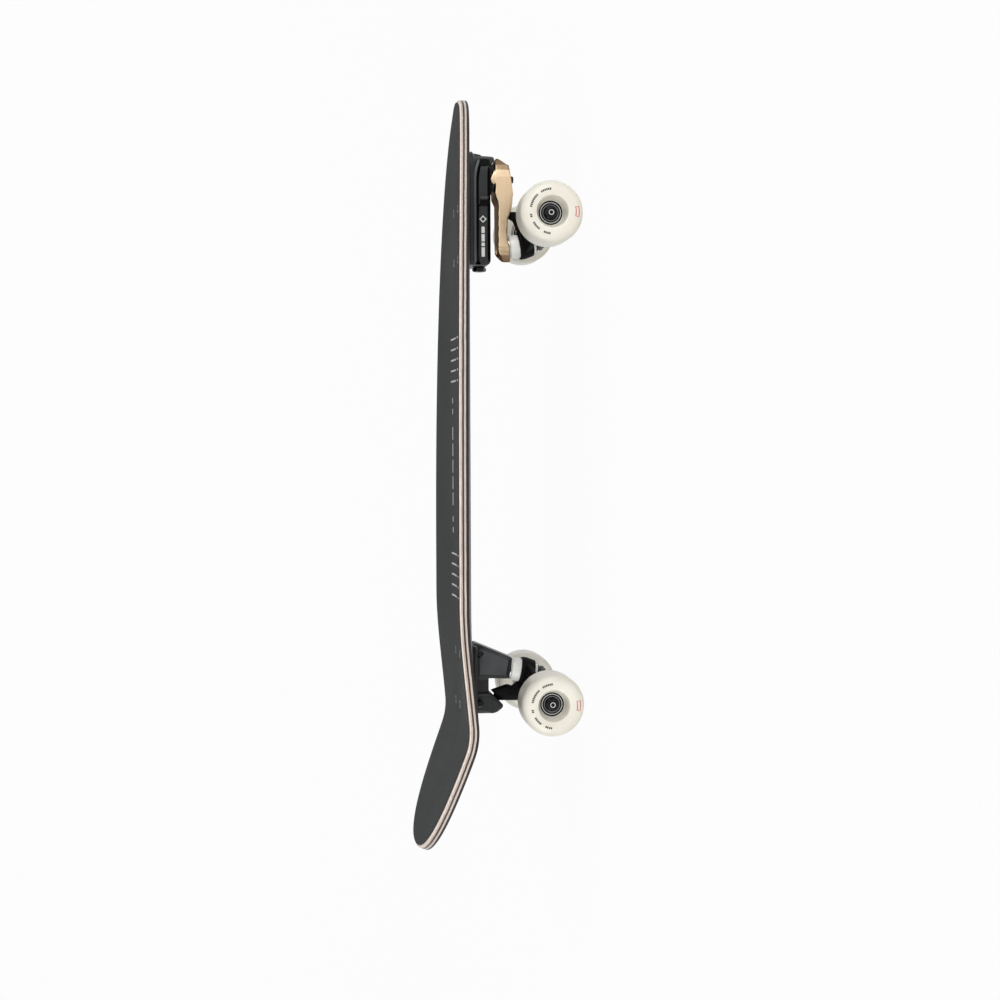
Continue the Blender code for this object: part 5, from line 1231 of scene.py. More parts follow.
def web_corners(pivot, outer):
    """Points of the thin web between the ring's outboard side and the pivot's stem."""
    outboard = Vector((-math.cos(KINGPIN_TILT), 0, math.sin(KINGPIN_TILT)))
    spots = [KINGPIN_FACE + KINGPIN_DOWN * depth + outboard * (outer - WEB_SIDE)
             for depth in (RING_AT + WEB_SIDE, RING_AT + RING_WEB + WEB_SIDE)]
    spots += [pivot.root, (pivot.root + pivot.mouth) / 2]
    return [point for spot in spots for point in ball(spot, WEB_SIDE, 12)]


def make_axle(end, body):
    """The axle, threaded where its nuts go on, with a turned end and a centre hole."""
    radius = AXLE_DIAMETER / 2
    half = [(0, -AXLE_END + 1.6 * MM), (1.1 * MM, 0.5 * MM - AXLE_END), (1.6 * MM, -AXLE_END)]
    half += [(radius - BEVEL, -AXLE_END), (radius - 0.1 * MM, BEVEL - AXLE_END)]
    threads(half, radius, BEVEL - AXLE_END, -AXLE_NUT_AT, 1.0 * MM, 0.4 * MM)
    profile = half + [(r, -h) for r, h in reversed(half)]
    fine(f"{end}_axle", profile, SMALL_ROUND, place_of(end) @ along(Y_AXIS), DARK_STEEL, body, 25)


# Wheels

WHEEL_ROUND = 128
LIP_STEPS = 14
DISH_STEPS = 12
SHOWN_DISH = 16.2 * MM  # radius of the dish's soft rim
DISH_RIM = 1.5 * MM  # rounding of that rim
PRINT_RADIUS = (21.7 * MM, 23.8 * MM)
PRINT_DASH = (3.6, 1.2)  # degrees of a printed dash and of the gap after it
PRINT_ARCS = ((-86, -60), (-47, -12), (8, 17), (30, 53), (66, 84))
PRINT_SINK = (0.04 * MM, -0.08 * MM)  # of the ink's top over the face, and of its foot
RED_ARCS = ((23.7 * MM, 24.6 * MM), (27.0 * MM, 27.9 * MM))
RED_SPAN = 12
RED_ENDS = 2  # degrees of the strokes that close the red outline
SEAL_CLIP = (7.7 * MM, 8.3 * MM)  # radii of the steel ring that holds a bearing's seal
TIP_RING = (2.0 * MM, 2.8 * MM)  # of bare steel round the axle's centre hole
CORE_OUTER = BEARING_OUTER / 2 + GAP + CORE_WALL
WHEEL_HALF = WHEEL_WIDTH / 2
LIP_START = WHEEL_DIAMETER / 2 - WHEEL_LIP


def face_height(radius):
    """How far the tread's face stands from the wheel's middle at a radius outside the dish."""
    if radius <= LIP_START:
        return WHEEL_HALF
    return WHEEL_HALF - WHEEL_LIP + math.sqrt(WHEEL_LIP ** 2 - (radius - LIP_START) ** 2)


def side_of_tyre(level):
    """Half of the tyre's profile: tread, round lip and a soft dish down to the core at a bearing's level."""
    points = [(WHEEL_DIAMETER / 2, 0.5 * MM)]
    for sine, cosine in quarter(LIP_STEPS):
        points.append((LIP_START + WHEEL_LIP * cosine, WHEEL_HALF - WHEEL_LIP * (1 - sine)))
    for sine, cosine in quarter(5)[1:-1]:
        points.append((SHOWN_DISH + DISH_RIM - DISH_RIM * sine, WHEEL_HALF - DISH_RIM * (1 - cosine)))
    start, foot = points[-1], CORE_OUTER + 0.5 * MM
    for k in range(1, DISH_STEPS + 1):
        share = k / DISH_STEPS
        radius = start[0] + (foot - start[0]) * share ** 0.86
        points.append((radius, start[1] + (level - start[1]) * (1 - (1 - share) ** 1.55)))
    return points + [(foot - 0.5 * MM, level + 0.05 * MM), (CORE_OUTER - 0.1 * MM, level + 0.2 * MM)]


def side_of_core(level, stop):
    """Half of the core's profile: a lip round the bearing, and the shoulder that it stops at."""
    seat, wall, top = BEARING_OUTER / 2 + 0.05 * MM, CORE_OUTER, level + CORE_PROUD
    points = [(wall, level - 2 * MM), (wall, top - 0.3 * MM), (wall - 0.3 * MM, top), (seat + 0.3 * MM, top)]
    return points + [(seat, top - 0.3 * MM), (seat, stop), (BEARING_OUTER / 2 - BEARING_SHOULDER, stop)]


def both_sides(outer, inner):
    return outer + [(r, -h) for r, h in reversed(inner)]


def make_bearing(node, place, body):
    """Races, the ribbed seal between them and its clip, seen from the bearing's face at height 0."""
    outer, bore, width = BEARING_OUTER / 2, BEARING_BORE / 2 + 0.1 * MM, BEARING_WIDTH
    wall, inner = outer - 1.0 * MM, BEARING_BORE / 2 + 1.7 * MM
    edge = 0.25 * MM
    race = [(outer, edge), (outer - edge, 0), (wall + 0.15 * MM, 0), (wall, 0.2 * MM), (wall, 1.2 * MM)]
    race += [(outer - 1.6 * MM, 1.5 * MM), (outer - 1.6 * MM, width), (outer, width)]
    core = [(bore, edge), (bore + edge, 0), (inner - 0.2 * MM, 0), (inner, 0.2 * MM)]
    core += [(inner, width), (bore, width)]
    start, span, ribs = inner + 0.1 * MM, wall - inner - 0.2 * MM, 3
    seal = [(start, 1.0 * MM), (start, 0.45 * MM)]
    for k in range(ribs):
        for share, height in ((0.08, 0.32), (0.20, 0.32), (0.24, 0.55), (0.31, 0.55)):
            seal.append((start + span * k / ribs + span * share, height * MM))
    seal += [(wall - 0.1 * MM, 0.35 * MM), (wall - 0.1 * MM, 1.0 * MM)]
    low, high = SEAL_CLIP
    clip = [(low, 0.6 * MM), (low, edge), (high, edge), (high, 0.6 * MM)]
    lathe(f"{node}_outer_race", race, ROUND, place, STEEL, body, node, 30)
    inside = (("inner_race", core, STEEL), ("seal", seal, SEAL), ("clip", clip, SEAL_RIM))
    for word, profile, material in inside:
        lathe(f"{node}_{word}", profile, ROUND, place, material, body, None, 30)


def printed_arc(shape, low, high, start, end, place):
    """A thin stroke of ink on the wheel's face between two radii and two angles."""
    steps = max(3, round((end - start) / 3))
    lift, foot = PRINT_SINK
    rows = []
    for k in range(steps + 1):
        turn = math.radians(start + (end - start) * k / steps)
        row = []
        for radius, over in ((low, lift), ((low + high) / 2, lift), (high, lift), (high, foot), (low, foot)):
            point = Vector((radius * math.cos(turn), radius * math.sin(turn), face_height(radius) + over))
            row.append(shape.verts.new(place @ point))
        rows.append(row)
    skin(shape, rows, caps=True)


def print_wheel(name, place, body):
    ink = bmesh.new()
    for start, stop in PRINT_ARCS:
        while start < stop:
            printed_arc(ink, *PRINT_RADIUS, start + 90, start + PRINT_DASH[0] + 90, place)
            start += sum(PRINT_DASH)
    piece(f"{name}_dark_print", ink, DARK_INK, body)
    ink = bmesh.new()
    left, right = 270 - RED_SPAN, 270 + RED_SPAN
    for low, high in RED_ARCS:
        printed_arc(ink, low, high, left, right, place)
    for start in (left, right - RED_ENDS):
        printed_arc(ink, RED_ARCS[0][0], RED_ARCS[1][1], start, start + RED_ENDS, place)
    piece(f"{name}_red_print", ink, RED_INK, body)


def make_wheel(end, word, side):
    """Tyre, core, prints, two bearings, spacer and nut. Side is 1 on the left of the board."""
    name = f"{end}_{word}"
    rolling, carrier = f"{name}_rolling", f"{end}_axle_assembly"
    centre = Vector((REAR_AXLE_X if end == "rear" else FRONT_AXLE_X, 0, AXLE_HEIGHT))
    way = Y_AXIS * side
    middle = Matrix.Translation(centre + way * WHEEL_AT) @ Matrix((X_AXIS, Z_AXIS, way)).transposed().to_4x4()
    levels = (OUTER_BEARING_AT + BEARING_WIDTH - WHEEL_AT, WHEEL_AT - INNER_BEARING_AT)
    stops = (SPACER_AT + SPACER_LENGTH - WHEEL_AT, WHEEL_AT - SPACER_AT)
    tyre = both_sides(*map(side_of_tyre, levels))
    lathe(f"{name}_tyre", tyre, WHEEL_ROUND, middle, CREAM, rolling, f"{name}_wheel", 60)
    core = both_sides(*map(side_of_core, levels, stops))
    lathe(f"{name}_core", core, ROUND, middle, NYLON, rolling, None, 30)
    print_wheel(name, middle, rolling)
    bearings = (("outer", OUTER_BEARING_AT + BEARING_WIDTH, -1), ("inner", INNER_BEARING_AT, 1))
    for which, far, facing in bearings:
        place = Matrix.Translation(centre + way * far) @ along(way * facing)
        make_bearing(f"{name}_{which}_bearing", place, rolling)

    bore, wall, edge = BEARING_BORE / 2 + GAP, BEARING_BORE / 2 + GAP + SPACER_WALL, 0.2 * MM
    tube = [(bore, 0), (wall - edge, 0), (wall, edge), (wall, SPACER_LENGTH - edge)]
    tube += [(wall - edge, SPACER_LENGTH), (bore, SPACER_LENGTH)]
    place = Matrix.Translation(centre) @ along(way, way * SPACER_AT)
    fine(f"{name}_bearing_spacer", tube, SMALL_ROUND, place, STEEL, carrier, 30)
    place = Matrix.Translation(centre) @ along(way)
    span = (AXLE_NUT_AT, AXLE_NUT_END)
    make_lock_nut(f"{name}_axle_nut", AXLE_NUT_WIDTH, AXLE_DIAMETER, *span, place, DARK_STEEL, carrier)
    ring = box(*TIP_RING, AXLE_END - 0.3 * MM, AXLE_END + 0.06 * MM)
    lathe(f"{name}_axle_tip", ring, SMALL_ROUND, place, STEEL, carrier, None, 30)


# Castings, arm and what is between them

THRUST_WASHER_AT = ARM_TOP + GAP
HOUSING_BOSS_LOW = THRUST_WASHER_AT + THRUST_WASHER[1] + GAP
LOWER_SWING_BEARING_AT = HOUSING_BOSS_LOW + SHOULDER_THICKNESS + GAP
UPPER_SWING_BEARING_AT = LOWER_SWING_BEARING_AT + SWING_BEARING[2] + GAP
CRANK_AT = UPPER_SWING_BEARING_AT + SWING_BEARING[2] + GAP
SPRING_NOSE = SWING_X - CRANK_RADIUS - CRANK_PIN / 2 - GAP
SPRING_TAIL = ANCHOR_X + ANCHOR[1] + GAP

SHOWN_NOSE_X = HOUSING_NOSE_X - 1.5 * MM  # of the housing's front
CHIN_ROOT, CHIN_BACK = 12 * MM, 3.2 * MM  # of the slope under the front's edge, behind the nose
CHIN_DROP, CHIN_HALF = 14.5 * MM, 12 * MM
PANEL_TOP = HOUSING_SEAT - 5.6 * MM
PANEL_BAND = 8.5 * MM  # the band of painted shade at the panel's nose end
PANEL_LIFT, BAND_LIFT = 0.3 * MM, 0.1 * MM  # of the panel's plate and of that band
RIB_LEVEL = HOUSING_SEAT - 1.1 * MM
RIB_BEND_X, RIB_NOSE_X = 316 * MM, 338.5 * MM
RIB_CURVE = 10.0  # how fast the rib bends, per metre
RIB_SIZE = (3.4 * MM, 1.7 * MM, 0.9 * MM)  # width, height and how far it stands off the side
SHADE_EDGE_DROP = 3.1 * MM  # of the strip of painted shade under the rib
SHADE_EDGE_SIZE = (3.4 * MM, 0.4 * MM, 0.0)
SHADE_EDGE_TAPER = 0.5  # of its width, towards the tail
BAR_SIZE = (0.9 * MM, 0.5 * MM, 0.0)
# The band of painted shade and reflection before the housing's nose: its ends, its height and its size.
NOSE_BAND = (331 * MM, 339.5 * MM)
NOSE_BAND_AT = 91.4 * MM
BAND_SIZE = (13.6 * MM, 0.7 * MM, -0.1 * MM)
BOTTOM_SHADE_SIZE = (3.2 * MM, 0.4 * MM, 0.0)
BEAD_SIDES = 12
SIDE_BARS = ((235, 245), (246.2, 250), (251.2, 259), (260.2, 267))  # millimetres
SIDE_BAR_AT = 92.4 * MM
SIDE_BAR_HALF = 1.75 * MM
SIDE_SQUARE = (275 * MM, 3.9 * MM, 0.62)  # middle, half of its diagonal, and its opening's share of that
POCKET_PLAY = 1.2 * MM  # beside the housing's lock nuts
POCKET_WALL = 0.25 * MM  # between their pockets and the outside
PLATE_EDGE = 0.5 * MM  # of the plates in the sunken panels, inside the panel's rim
PLATE_SINK = 0.4 * MM  # how deep those plates are let in
PLATE_BEVEL = 0.2 * MM
MARK_LIFT = 0.04 * MM  # of the marks over their plate
CAST_VOXEL = 0.7 * MM
BOSS_ROOM = 1.4 * MM  # wider than the thrust boss, in the arm
EAR_SINK = 3 * MM  # of the ears into the arm's top
EAR_INSET = 0.3 * MM  # inside the arm's head
EAR_GAP = 0.7 * MM
# The ears from the side, in millimetres before the swing axis and over the ground
EAR_VIEW = ((-9, 77), (-8, 80.5), (-5, 83.5), (-1.5, 83.5), (8, 80.2), (14.5, 77.6), (14.5, 76), (-9, 76))
SPRING_STEPS = 28  # points of the wire in each curl


def both(outline, inner, outer, edge=0.0):
    """The same plate on each side of the board, between two distances from its middle."""
    return [(word, prism(outline, low, high, ACROSS, edge))
            for word, low, high in (("right", inner, outer), ("left", -outer, -inner))]


def bolt_holes(middle):
    return [bolt_hole(x, y) for x, y in bolt_places(middle)]


def kingpin_bore(end, grip):
    """A hole for the kingpin, with a round counterbore for its head."""
    head, shank = KINGPIN_HEAD / 2 + 0.4 * MM, KINGPIN_DIAMETER / 2 + 0.2 * MM
    high = -grip - KINGPIN_HEAD_HEIGHT - 3 * THROUGH
    profile = [(0, high), (head, high), (head, -grip), (shank, -grip), (shank, -0.5 * MM)]
    return turned(profile + [(shank + 0.6 * MM, THROUGH), (0, THROUGH)], ROUND, place_of(end) @ KINGPIN_PLACE)


def pivot_seat(end, pivot):
    seat, deep = CUP_OUTER + 0.1 * MM, pivot.length + 0.1 * MM
    profile = [(0, -THROUGH), (seat + 0.8 * MM, -THROUGH), (seat, 0.4 * MM), (seat, deep), (0, deep)]
    return turned(profile, SMALL_ROUND, place_of(end) @ along(pivot.way, pivot.mouth))


def plate_outline():
    half, side = FLANGE_LENGTH / 2, FLANGE_WIDTH / 2
    return rounded(box(FLANGE_MIDDLE - half, FLANGE_MIDDLE + half, -side, side), FLANGE_CORNER)


def make_riser():
    mesh = mesh_of(prism(plate_outline(), RISER_TOP - RISER_THICKNESS, RISER_TOP, edge=0.5 * MM))
    mesh = cut(mesh, bolt_holes(REAR_BOLTS_X))
    piece("rear_riser_pad_fine", mesh, RUBBER, "board", "rear_riser_pad")


def boss_outline():
    """The kingpin boss from the side: its low face is square to the kingpin."""
    run = Vector((math.cos(KINGPIN_TILT), -math.sin(KINGPIN_TILT)))
    inboard, outboard = KINGPIN_FACE.xz + run * BOSS_INBOARD, KINGPIN_FACE.xz - run * BOSS_OUTBOARD
    top = FLANGE_BOTTOM - AXLE_HEIGHT
    return [(BOSS_ROOT[0], top), tuple(inboard), tuple(outboard), (BOSS_ROOT[1], top)]


def pivot_boss_outline(top):
    """The pivot boss from the side: a flat slanted face, with a round back."""
    face = REAR_PIVOT_FACE.xz
    run = Vector((math.sin(REAR_PIVOT_INWARD), -math.cos(REAR_PIVOT_INWARD)))
    high, low = face + run * PIVOT_FACE_UP, face - run * PIVOT_FACE_DOWN
    back = face.x - PIVOT_BACK
    corners = [(high.x, top), (*high, 0), (*low, PIVOT_LOW_CORNER)]
    corners += [(back, low.y + PIVOT_BACK_RISE, PIVOT_BACK_CORNER), (back, top)]
    return rounded(corners, 0)


def make_baseplate():
    """The rear baseplate as one casting, with a lighter sunken panel in each side of its boss."""
    place = place_of("rear")
    boss = boss_outline()
    sunk = FLANGE_THICKNESS / 2
    top = boss[0][1] + sunk
    block = rounded([(boss[0][0], top)] + boss + [(boss[3][0], top)], 2 * BEVEL, 4)
    pivot = pivot_boss_outline(boss[0][1])
    pivot = [(x, z + sunk if z == pivot[0][1] else z) for x, z in pivot]
    web = [(BOSS_ROOT[1] + 2 * THROUGH, top), (BOSS_ROOT[1] + 2 * THROUGH, WEB_LOW)]
    web += [(REAR_PIVOT_FACE.x + 2 * THROUGH, WEB_LOW), (REAR_PIVOT_FACE.x + 2 * THROUGH, top)]
    shapes = [prism(inset(plate_outline(), RISER_PROUD), FLANGE_BOTTOM, FLANGE_TOP, edge=BEVEL)]
    for outline, width, edge in ((block, BOSS_WIDTH, BEVEL), (pivot, PIVOT_BOSS_WIDTH, PIVOT_BOSS_EDGE),
                                 (web, WEB_WIDTH, 0.0)):
        shapes.append(moved(prism(outline, -width / 2, width / 2, ACROSS, edge), place))
    sunken, proud = BOSS_WIDTH / 2 - BOSS_PANEL, BOSS_WIDTH / 2 + THROUGH
    hollows = both(rounded(inset(boss, BOSS_RIM), 2 * BEVEL, 4), sunken, proud)
    mesh = cast(shapes, 0.75 * MM, 5, [moved(shape, place) for _, shape in hollows])
    grip = kingpin_grip(FLANGE_TOP - AXLE_HEIGHT)
    spot = turned(box(0, KINGPIN_HEAD, 0, 2 * THROUGH), ROUND, place @ KINGPIN_PLACE)
    cutters = [kingpin_bore("rear", grip), spot, pivot_seat("rear", REAR_PIVOT), *bolt_holes(REAR_BOLTS_X)]
    piece("rear_baseplate_cast", cut(mesh, cutters), PAINT, "board", "rear_baseplate", 40)
    plate = rounded(inset(boss, BOSS_RIM + 1.1 * MM), 2 * BEVEL, 6)
    for word, shape in both(plate, sunken - PLATE_SINK, sunken + 0.35 * MM, PLATE_BEVEL):
        piece(f"rear_baseplate_panel_{word}", moved(shape, place), PANEL, "board", None, 30)
    return grip


def housing_plan(width, nose):
    """The housing from above, with its corners rounded."""
    plan = box(HOUSING_TAIL_X, nose, -width / 2, width / 2)
    corners = (HOUSING_TAIL_CORNER, HOUSING_NOSE_CORNER, HOUSING_NOSE_CORNER, HOUSING_TAIL_CORNER)
    return rounded([(*point, corner) for point, corner in zip(plan, corners)], 0, 14)


def housing_shapes(top):
    """What the housing is cast from: flange, step, thrust boss, body and chin."""
    nose, lip = SHOWN_NOSE_X, HOUSING_LIP
    shapes = [prism(housing_plan(HOUSING_FLANGE_WIDTH, nose), HOUSING_SEAT, HOUSING_TOP, edge=BEVEL)]
    step = housing_plan(HOUSING_FLANGE_WIDTH - 2 * HOUSING_STEP, nose - HOUSING_STEP)
    shapes.append(prism(step, HOUSING_SEAT - HOUSING_STEP, top, edge=0.4 * MM))
    shapes.append(rod(THRUST_BOSS, HOUSING_BOSS_LOW, HOUSING_BOTTOM + THROUGH, ROUND, at(SWING_X)))
    view = [(HOUSING_TAIL_X, top, 0), (HOUSING_TAIL_X, HOUSING_BOTTOM, HOUSING_TAIL_CORNER)]
    view += [(SWING_X + LIP_SLOPE[0], HOUSING_BOTTOM, 3 * BEVEL), (SWING_X + LIP_SLOPE[1], lip, BEVEL)]
    view += [(nose - 3 * HOUSING_STEP, lip, 2 * BEVEL), (nose - HOUSING_STEP, top, 0)]
    half = HOUSING_WIDTH / 2 + THROUGH
    side_view = prism(rounded(view, 0, 8), -half, half, ACROSS)
    body = prism(housing_plan(HOUSING_WIDTH, nose - 2 * HOUSING_STEP), lip - THROUGH, top - BEVEL / 2)
    shapes.append(shape_of(cut(mesh_of(body), [side_view], "INTERSECT")))
    root, low, high = nose - CHIN_ROOT, HOUSING_TOP - CHIN_DROP, HOUSING_TOP - MM
    chin = [(root, high), (nose - MM, high), (nose - CHIN_BACK, low), (root, low - MM)]
    shapes.append(prism(rounded(chin, 0.5 * MM, 3), -CHIN_HALF, CHIN_HALF, ACROSS))
    return shapes


def hollow_shapes():
    """Room in the housing for the spring, for the crank over the bearings, and for the bearings' seats."""
    front, back = SWING_X - SWING_BEARING[0] / 2 - HOUSING_WALL, SWING_X - CRANK_RADIUS
    hollow = box(HOLLOW_TAIL_X, front, -HOLLOW_HALF, HOLLOW_HALF)
    corners = [(back, -HOLLOW_HALF), (SWING_X, -HOLLOW_HALF)]
    for k in range(1, 8):
        turn = math.radians(-90 + 180 * k / 8)
        corners.append((SWING_X + HOLLOW_HALF * math.cos(turn), HOLLOW_HALF * math.sin(turn)))
    corners += [(SWING_X, HOLLOW_HALF), (back, HOLLOW_HALF)]
    seat, shoulder, stop = SWING_BEARING[0] / 2 + GAP, SHOULDER_OPENING / 2, LOWER_SWING_BEARING_AT - GAP
    top, low = CRANK_AT + THROUGH, HOUSING_BOSS_LOW - THROUGH
    profile = [(0, top), (seat, top), (seat, stop), (shoulder, stop), (shoulder, low), (0, low)]
    return [prism(hollow, HOLLOW_FLOOR, HOUSING_TOP + THROUGH),
            prism(corners, CRANK_AT - GAP / 2, HOUSING_TOP + THROUGH), turned(profile, ROUND, at(SWING_X))]


def closed_pockets():
    """Room round the lock nuts, with a thin wall left to the outside."""
    low, high = HOUSING_SEAT - LOCK_NUT_HEIGHT - BOLT_TIP - 3 * GAP, HOUSING_SEAT
    half, reach = LOCK_NUT_WIDTH / 2 + POCKET_PLAY, HOUSING_WIDTH / 2 - POCKET_WALL
    blocks = []
    for x, y in bolt_places(FRONT_BOLTS_X):
        side = math.copysign(1, y)
        inner = y - side * half
        outline = [(x - half, side * reach, 0), (x - half, inner, half)]
        outline += [(x + half, inner, half), (x + half, side * reach, 0)]
        blocks.append(prism(rounded(outline, 0, 4), low, high))
    return merged(blocks)


def make_housing():
    """The front housing: a flange and a step under the deck, then the body with a sunken side panel."""
    top, tail = HOUSING_SEAT + BEVEL, HOUSING_TAIL_X + PANEL_RIM
    low, high = HOUSING_BOTTOM + PANEL_RIM, PANEL_TOP
    corner, *others = box(tail, PANEL_NOSE_X, low, high)
    panel = rounded([(*corner, HOUSING_TAIL_CORNER - PANEL_RIM), *others], BEVEL, 3)
    sunken = HOUSING_WIDTH / 2 - PANEL_DEPTH
    hollows = [shape for _, shape in both(panel, sunken, HOUSING_WIDTH / 2 + THROUGH)]
    mesh = cast(housing_shapes(top), CAST_VOXEL, 3, hollows)
    screw_hole = rod(ADJUSTER_SCREW + 2 * GAP, HOUSING_TAIL_X - THROUGH, HOLLOW_TAIL_X + THROUGH, SMALL_ROUND,
                     along(X_AXIS, (0, 0, SPRING_HEIGHT)))
    cutters = [*hollow_shapes(), closed_pockets(), screw_hole, *bolt_holes(FRONT_BOLTS_X)]
    piece("front_housing_cast", cut(mesh, cutters), PAINT, "board", "front_housing", 40)
    # The panel's plate stops where a band of painted shade in near black paint begins.
    shade_edge = PANEL_NOSE_X - PANEL_BAND
    for word, start, stop, material, proud in (("panel", tail + PLATE_EDGE, shade_edge, SATIN, PANEL_LIFT),
                                               ("shade_band", shade_edge, PANEL_NOSE_X - PLATE_EDGE, PAINTED_SHADE_BLACK, BAND_LIFT)):
        outline = rounded(box(start, stop, low + PLATE_EDGE, high - PLATE_EDGE), BEVEL, 4)
        for side, plate in both(outline, sunken - PLATE_SINK, sunken + proud, PLATE_BEVEL):
            piece(f"front_housing_{word}_{side}", plate, material, "board", None, 30)
    # The rib is a raised bead in pale paint, a painted highlight along the step's edge.
    side_strips("highlight_rib", rib_path(0.0), RIB_SIZE, PAINTED_HIGHLIGHT)
    # A near black strip of painted shade under the step's edge.
    side_strips("shade_edge", rib_path(SHADE_EDGE_DROP), SHADE_EDGE_SIZE, PAINTED_SHADE_STRIPS, SHADE_EDGE_TAPER)
    # A thin bar of painted highlight up the side before the panel.
    x = PANEL_NOSE_X + 1.2 * MM
    side_strips("bar", line((x, HOUSING_BOTTOM + 1.2 * MM), (x, RIB_LEVEL - 5 * MM), 10), BAR_SIZE, PAINTED_HIGHLIGHT)
    # A dark band of painted shade and reflection across the body before the nose.
    shade_band = line((NOSE_BAND[0], NOSE_BAND_AT), (NOSE_BAND[1], NOSE_BAND_AT), 10)
    side_strips("nose_shade_band", shade_band, BAND_SIZE, PAINTED_SHADE_BLACK)
    # A strip of painted shade along the body's bottom edge.
    level = HOUSING_BOTTOM + BOTTOM_SHADE_SIZE[0] / 2 + 0.3 * MM
    bottom_shade = line((HOUSING_TAIL_X + 4 * MM, level), (NOSE_BAND[0], level), 20)
    side_strips("bottom_shade", bottom_shade, BOTTOM_SHADE_SIZE, PAINTED_SHADE_STRIPS)
    make_side_marks()


def side_of_body(x):
    """How far the housing's body reaches to each side at x: its nose corners are rounded off."""
    half, corner, nose = HOUSING_WIDTH / 2, HOUSING_NOSE_CORNER, SHOWN_NOSE_X - 2 * HOUSING_STEP
    if x <= nose - corner:
        return half
    share = 1 - math.sqrt(max(nose - x, 0) / corner)
    return half - corner * share * share


def rib_path(drop):
    """Along the body's side under its flange, bending towards the road before the nose."""
    places = line((HOUSING_TAIL_X + 1.5 * MM,), (RIB_NOSE_X,), 44)
    return [(x, RIB_LEVEL - drop - RIB_CURVE * max(0, x - RIB_BEND_X) ** 2) for x, in places]


def side_strips(word, points, size, material, taper=1.0):
    """The same rounded strip on both sides of the housing, along points given as (x, z)."""
    for name, side in (("left", 1), ("right", -1)):
        path = [Vector((x, side * (side_of_body(x) + size[2]), z)) for x, z in points]
        shape = bead(path, size[0], size[1], Y_AXIS * side, taper)
        piece(f"front_housing_{word}_{name}", shape, material, "board", None, 50)


def bead(points, wide, high, away, taper):
    """A rounded strip along points: wide across, and high on the side it faces away to."""
    shape = bmesh.new()
    rows = []
    for k, here in enumerate(points):
        run = (points[min(k + 1, len(points) - 1)] - points[max(k - 1, 0)]).normalized()
        out = (away - run * run.dot(away)).normalized()
        over = out.cross(run)
        share = 0.35 if k in (0, len(points) - 1) else 1.0
        breadth = wide / 2 * (taper + (1 - taper) * k / len(points))
        row = []
        for n in range(BEAD_SIDES):
            turn = 2 * math.pi * n / BEAD_SIDES
            reach = out * (high * math.cos(turn)) + over * (breadth * math.sin(turn))
            row.append(shape.verts.new(here + reach * share))
        rows.append(row)
    return skin(shape, rows, caps=True)


def make_side_marks():
    """Plain pale bars and an open square on the housing's side panels."""
    face = HOUSING_WIDTH / 2 - PANEL_DEPTH + PANEL_LIFT
    outlines = []
    for tail, nose in SIDE_BARS:
        bar = box(tail * MM, nose * MM, SIDE_BAR_AT - SIDE_BAR_HALF, SIDE_BAR_AT + SIDE_BAR_HALF)
        outlines.append(rounded(bar, 0.4 * MM, 3))
    x, half, opening = SIDE_SQUARE
    corners = ((-1, 0), (0, -1), (1, 0), (0, 1), (-1, 0))
    for a, b in zip(corners, corners[1:]):
        spots = ((a, half), (b, half), (b, half * opening), (a, half * opening))
        outlines.append([(x + way[0] * reach, SIDE_BAR_AT + way[1] * reach) for way, reach in spots])
    plates = [plate for outline in outlines for plate in both(outline, face - 0.1 * MM, face + MARK_LIFT)]
    for side in ("left", "right"):
        shape = merged([plate for word, plate in plates if word == side])
        piece(f"front_housing_marks_{side}", shape, PALE_INK, "board")


def arm_side_view():
    """The arm from the side, as (place along the board, height, corner radius)."""
    edge, soft, round_off = BEVEL, 4 * BEVEL, 10 * BEVEL
    nose, top, back = SWING_X + ARM_AHEAD + ARM_HEAD / 2, ARM_TOP, ARM_TOP - ARM_STEP
    view = [(nose - ARM_NOSE_TIP[0], top - ARM_NOSE_TIP[1], soft), (nose - ARM_NOSE, top, soft)]
    view += [(SWING_X - ARM_HEAD_END[0], top, soft), (SWING_X - ARM_HEAD_END[1], back, soft)]
    face_x, face_z = FRONT_AXLE_X - KINGPIN_FACE.x, AXLE_HEIGHT + KINGPIN_FACE.z
    tail = face_x + ARM_AHEAD - ARM_TAIL / 2
    view += [(tail + ARM_TAIL_SLOPE[0], back, round_off), (tail, back - ARM_TAIL_SLOPE[1], soft)]
    slope, reach = math.tan(KINGPIN_TILT), UPPER_BUSHING[0] / 2
    view += [(tail, face_z - slope * (face_x - tail), edge), (face_x + reach, face_z + slope * reach, 0)]
    pivot_x, pivot_z = FRONT_AXLE_X - FRONT_PIVOT_FACE.x, AXLE_HEIGHT + FRONT_PIVOT_FACE.z
    run = Vector((math.sin(FRONT_PIVOT_INWARD), math.cos(FRONT_PIVOT_INWARD)))
    run *= ARM_PIVOT_FACE / 2
    view += [(pivot_x - run.x, pivot_z - run.y, 0), (pivot_x + run.x, pivot_z + run.y, edge)]
    view += [(SWING_X + x, pivot_z + z, round_off) for x, z in ARM_BELLY]
    return view + [(nose - ARM_NOSE_FOOT[0], pivot_z + ARM_NOSE_FOOT[1], soft)]


def arm_plan():
    """The arm from above: a round head on the swing axis, drawn in to the round kingpin end."""
    head, tail, tail_x = ARM_HEAD / 2, ARM_TAIL / 2, FRONT_AXLE_X - KINGPIN_FACE.x
    lean = math.asin((head - tail) / (SWING_X - tail_x))
    steps = 10
    outline = []
    for middle, radius, start, spread in ((SWING_X, head, -90, lean), (tail_x, tail, 90, -lean)):
        for k in range(steps + 1):
            turn = math.radians(start + 180 * k / steps) + spread * (2 * k / steps - 1)
            outline.append((middle + ARM_AHEAD + radius * math.cos(turn), radius * math.sin(turn)))
    return outline


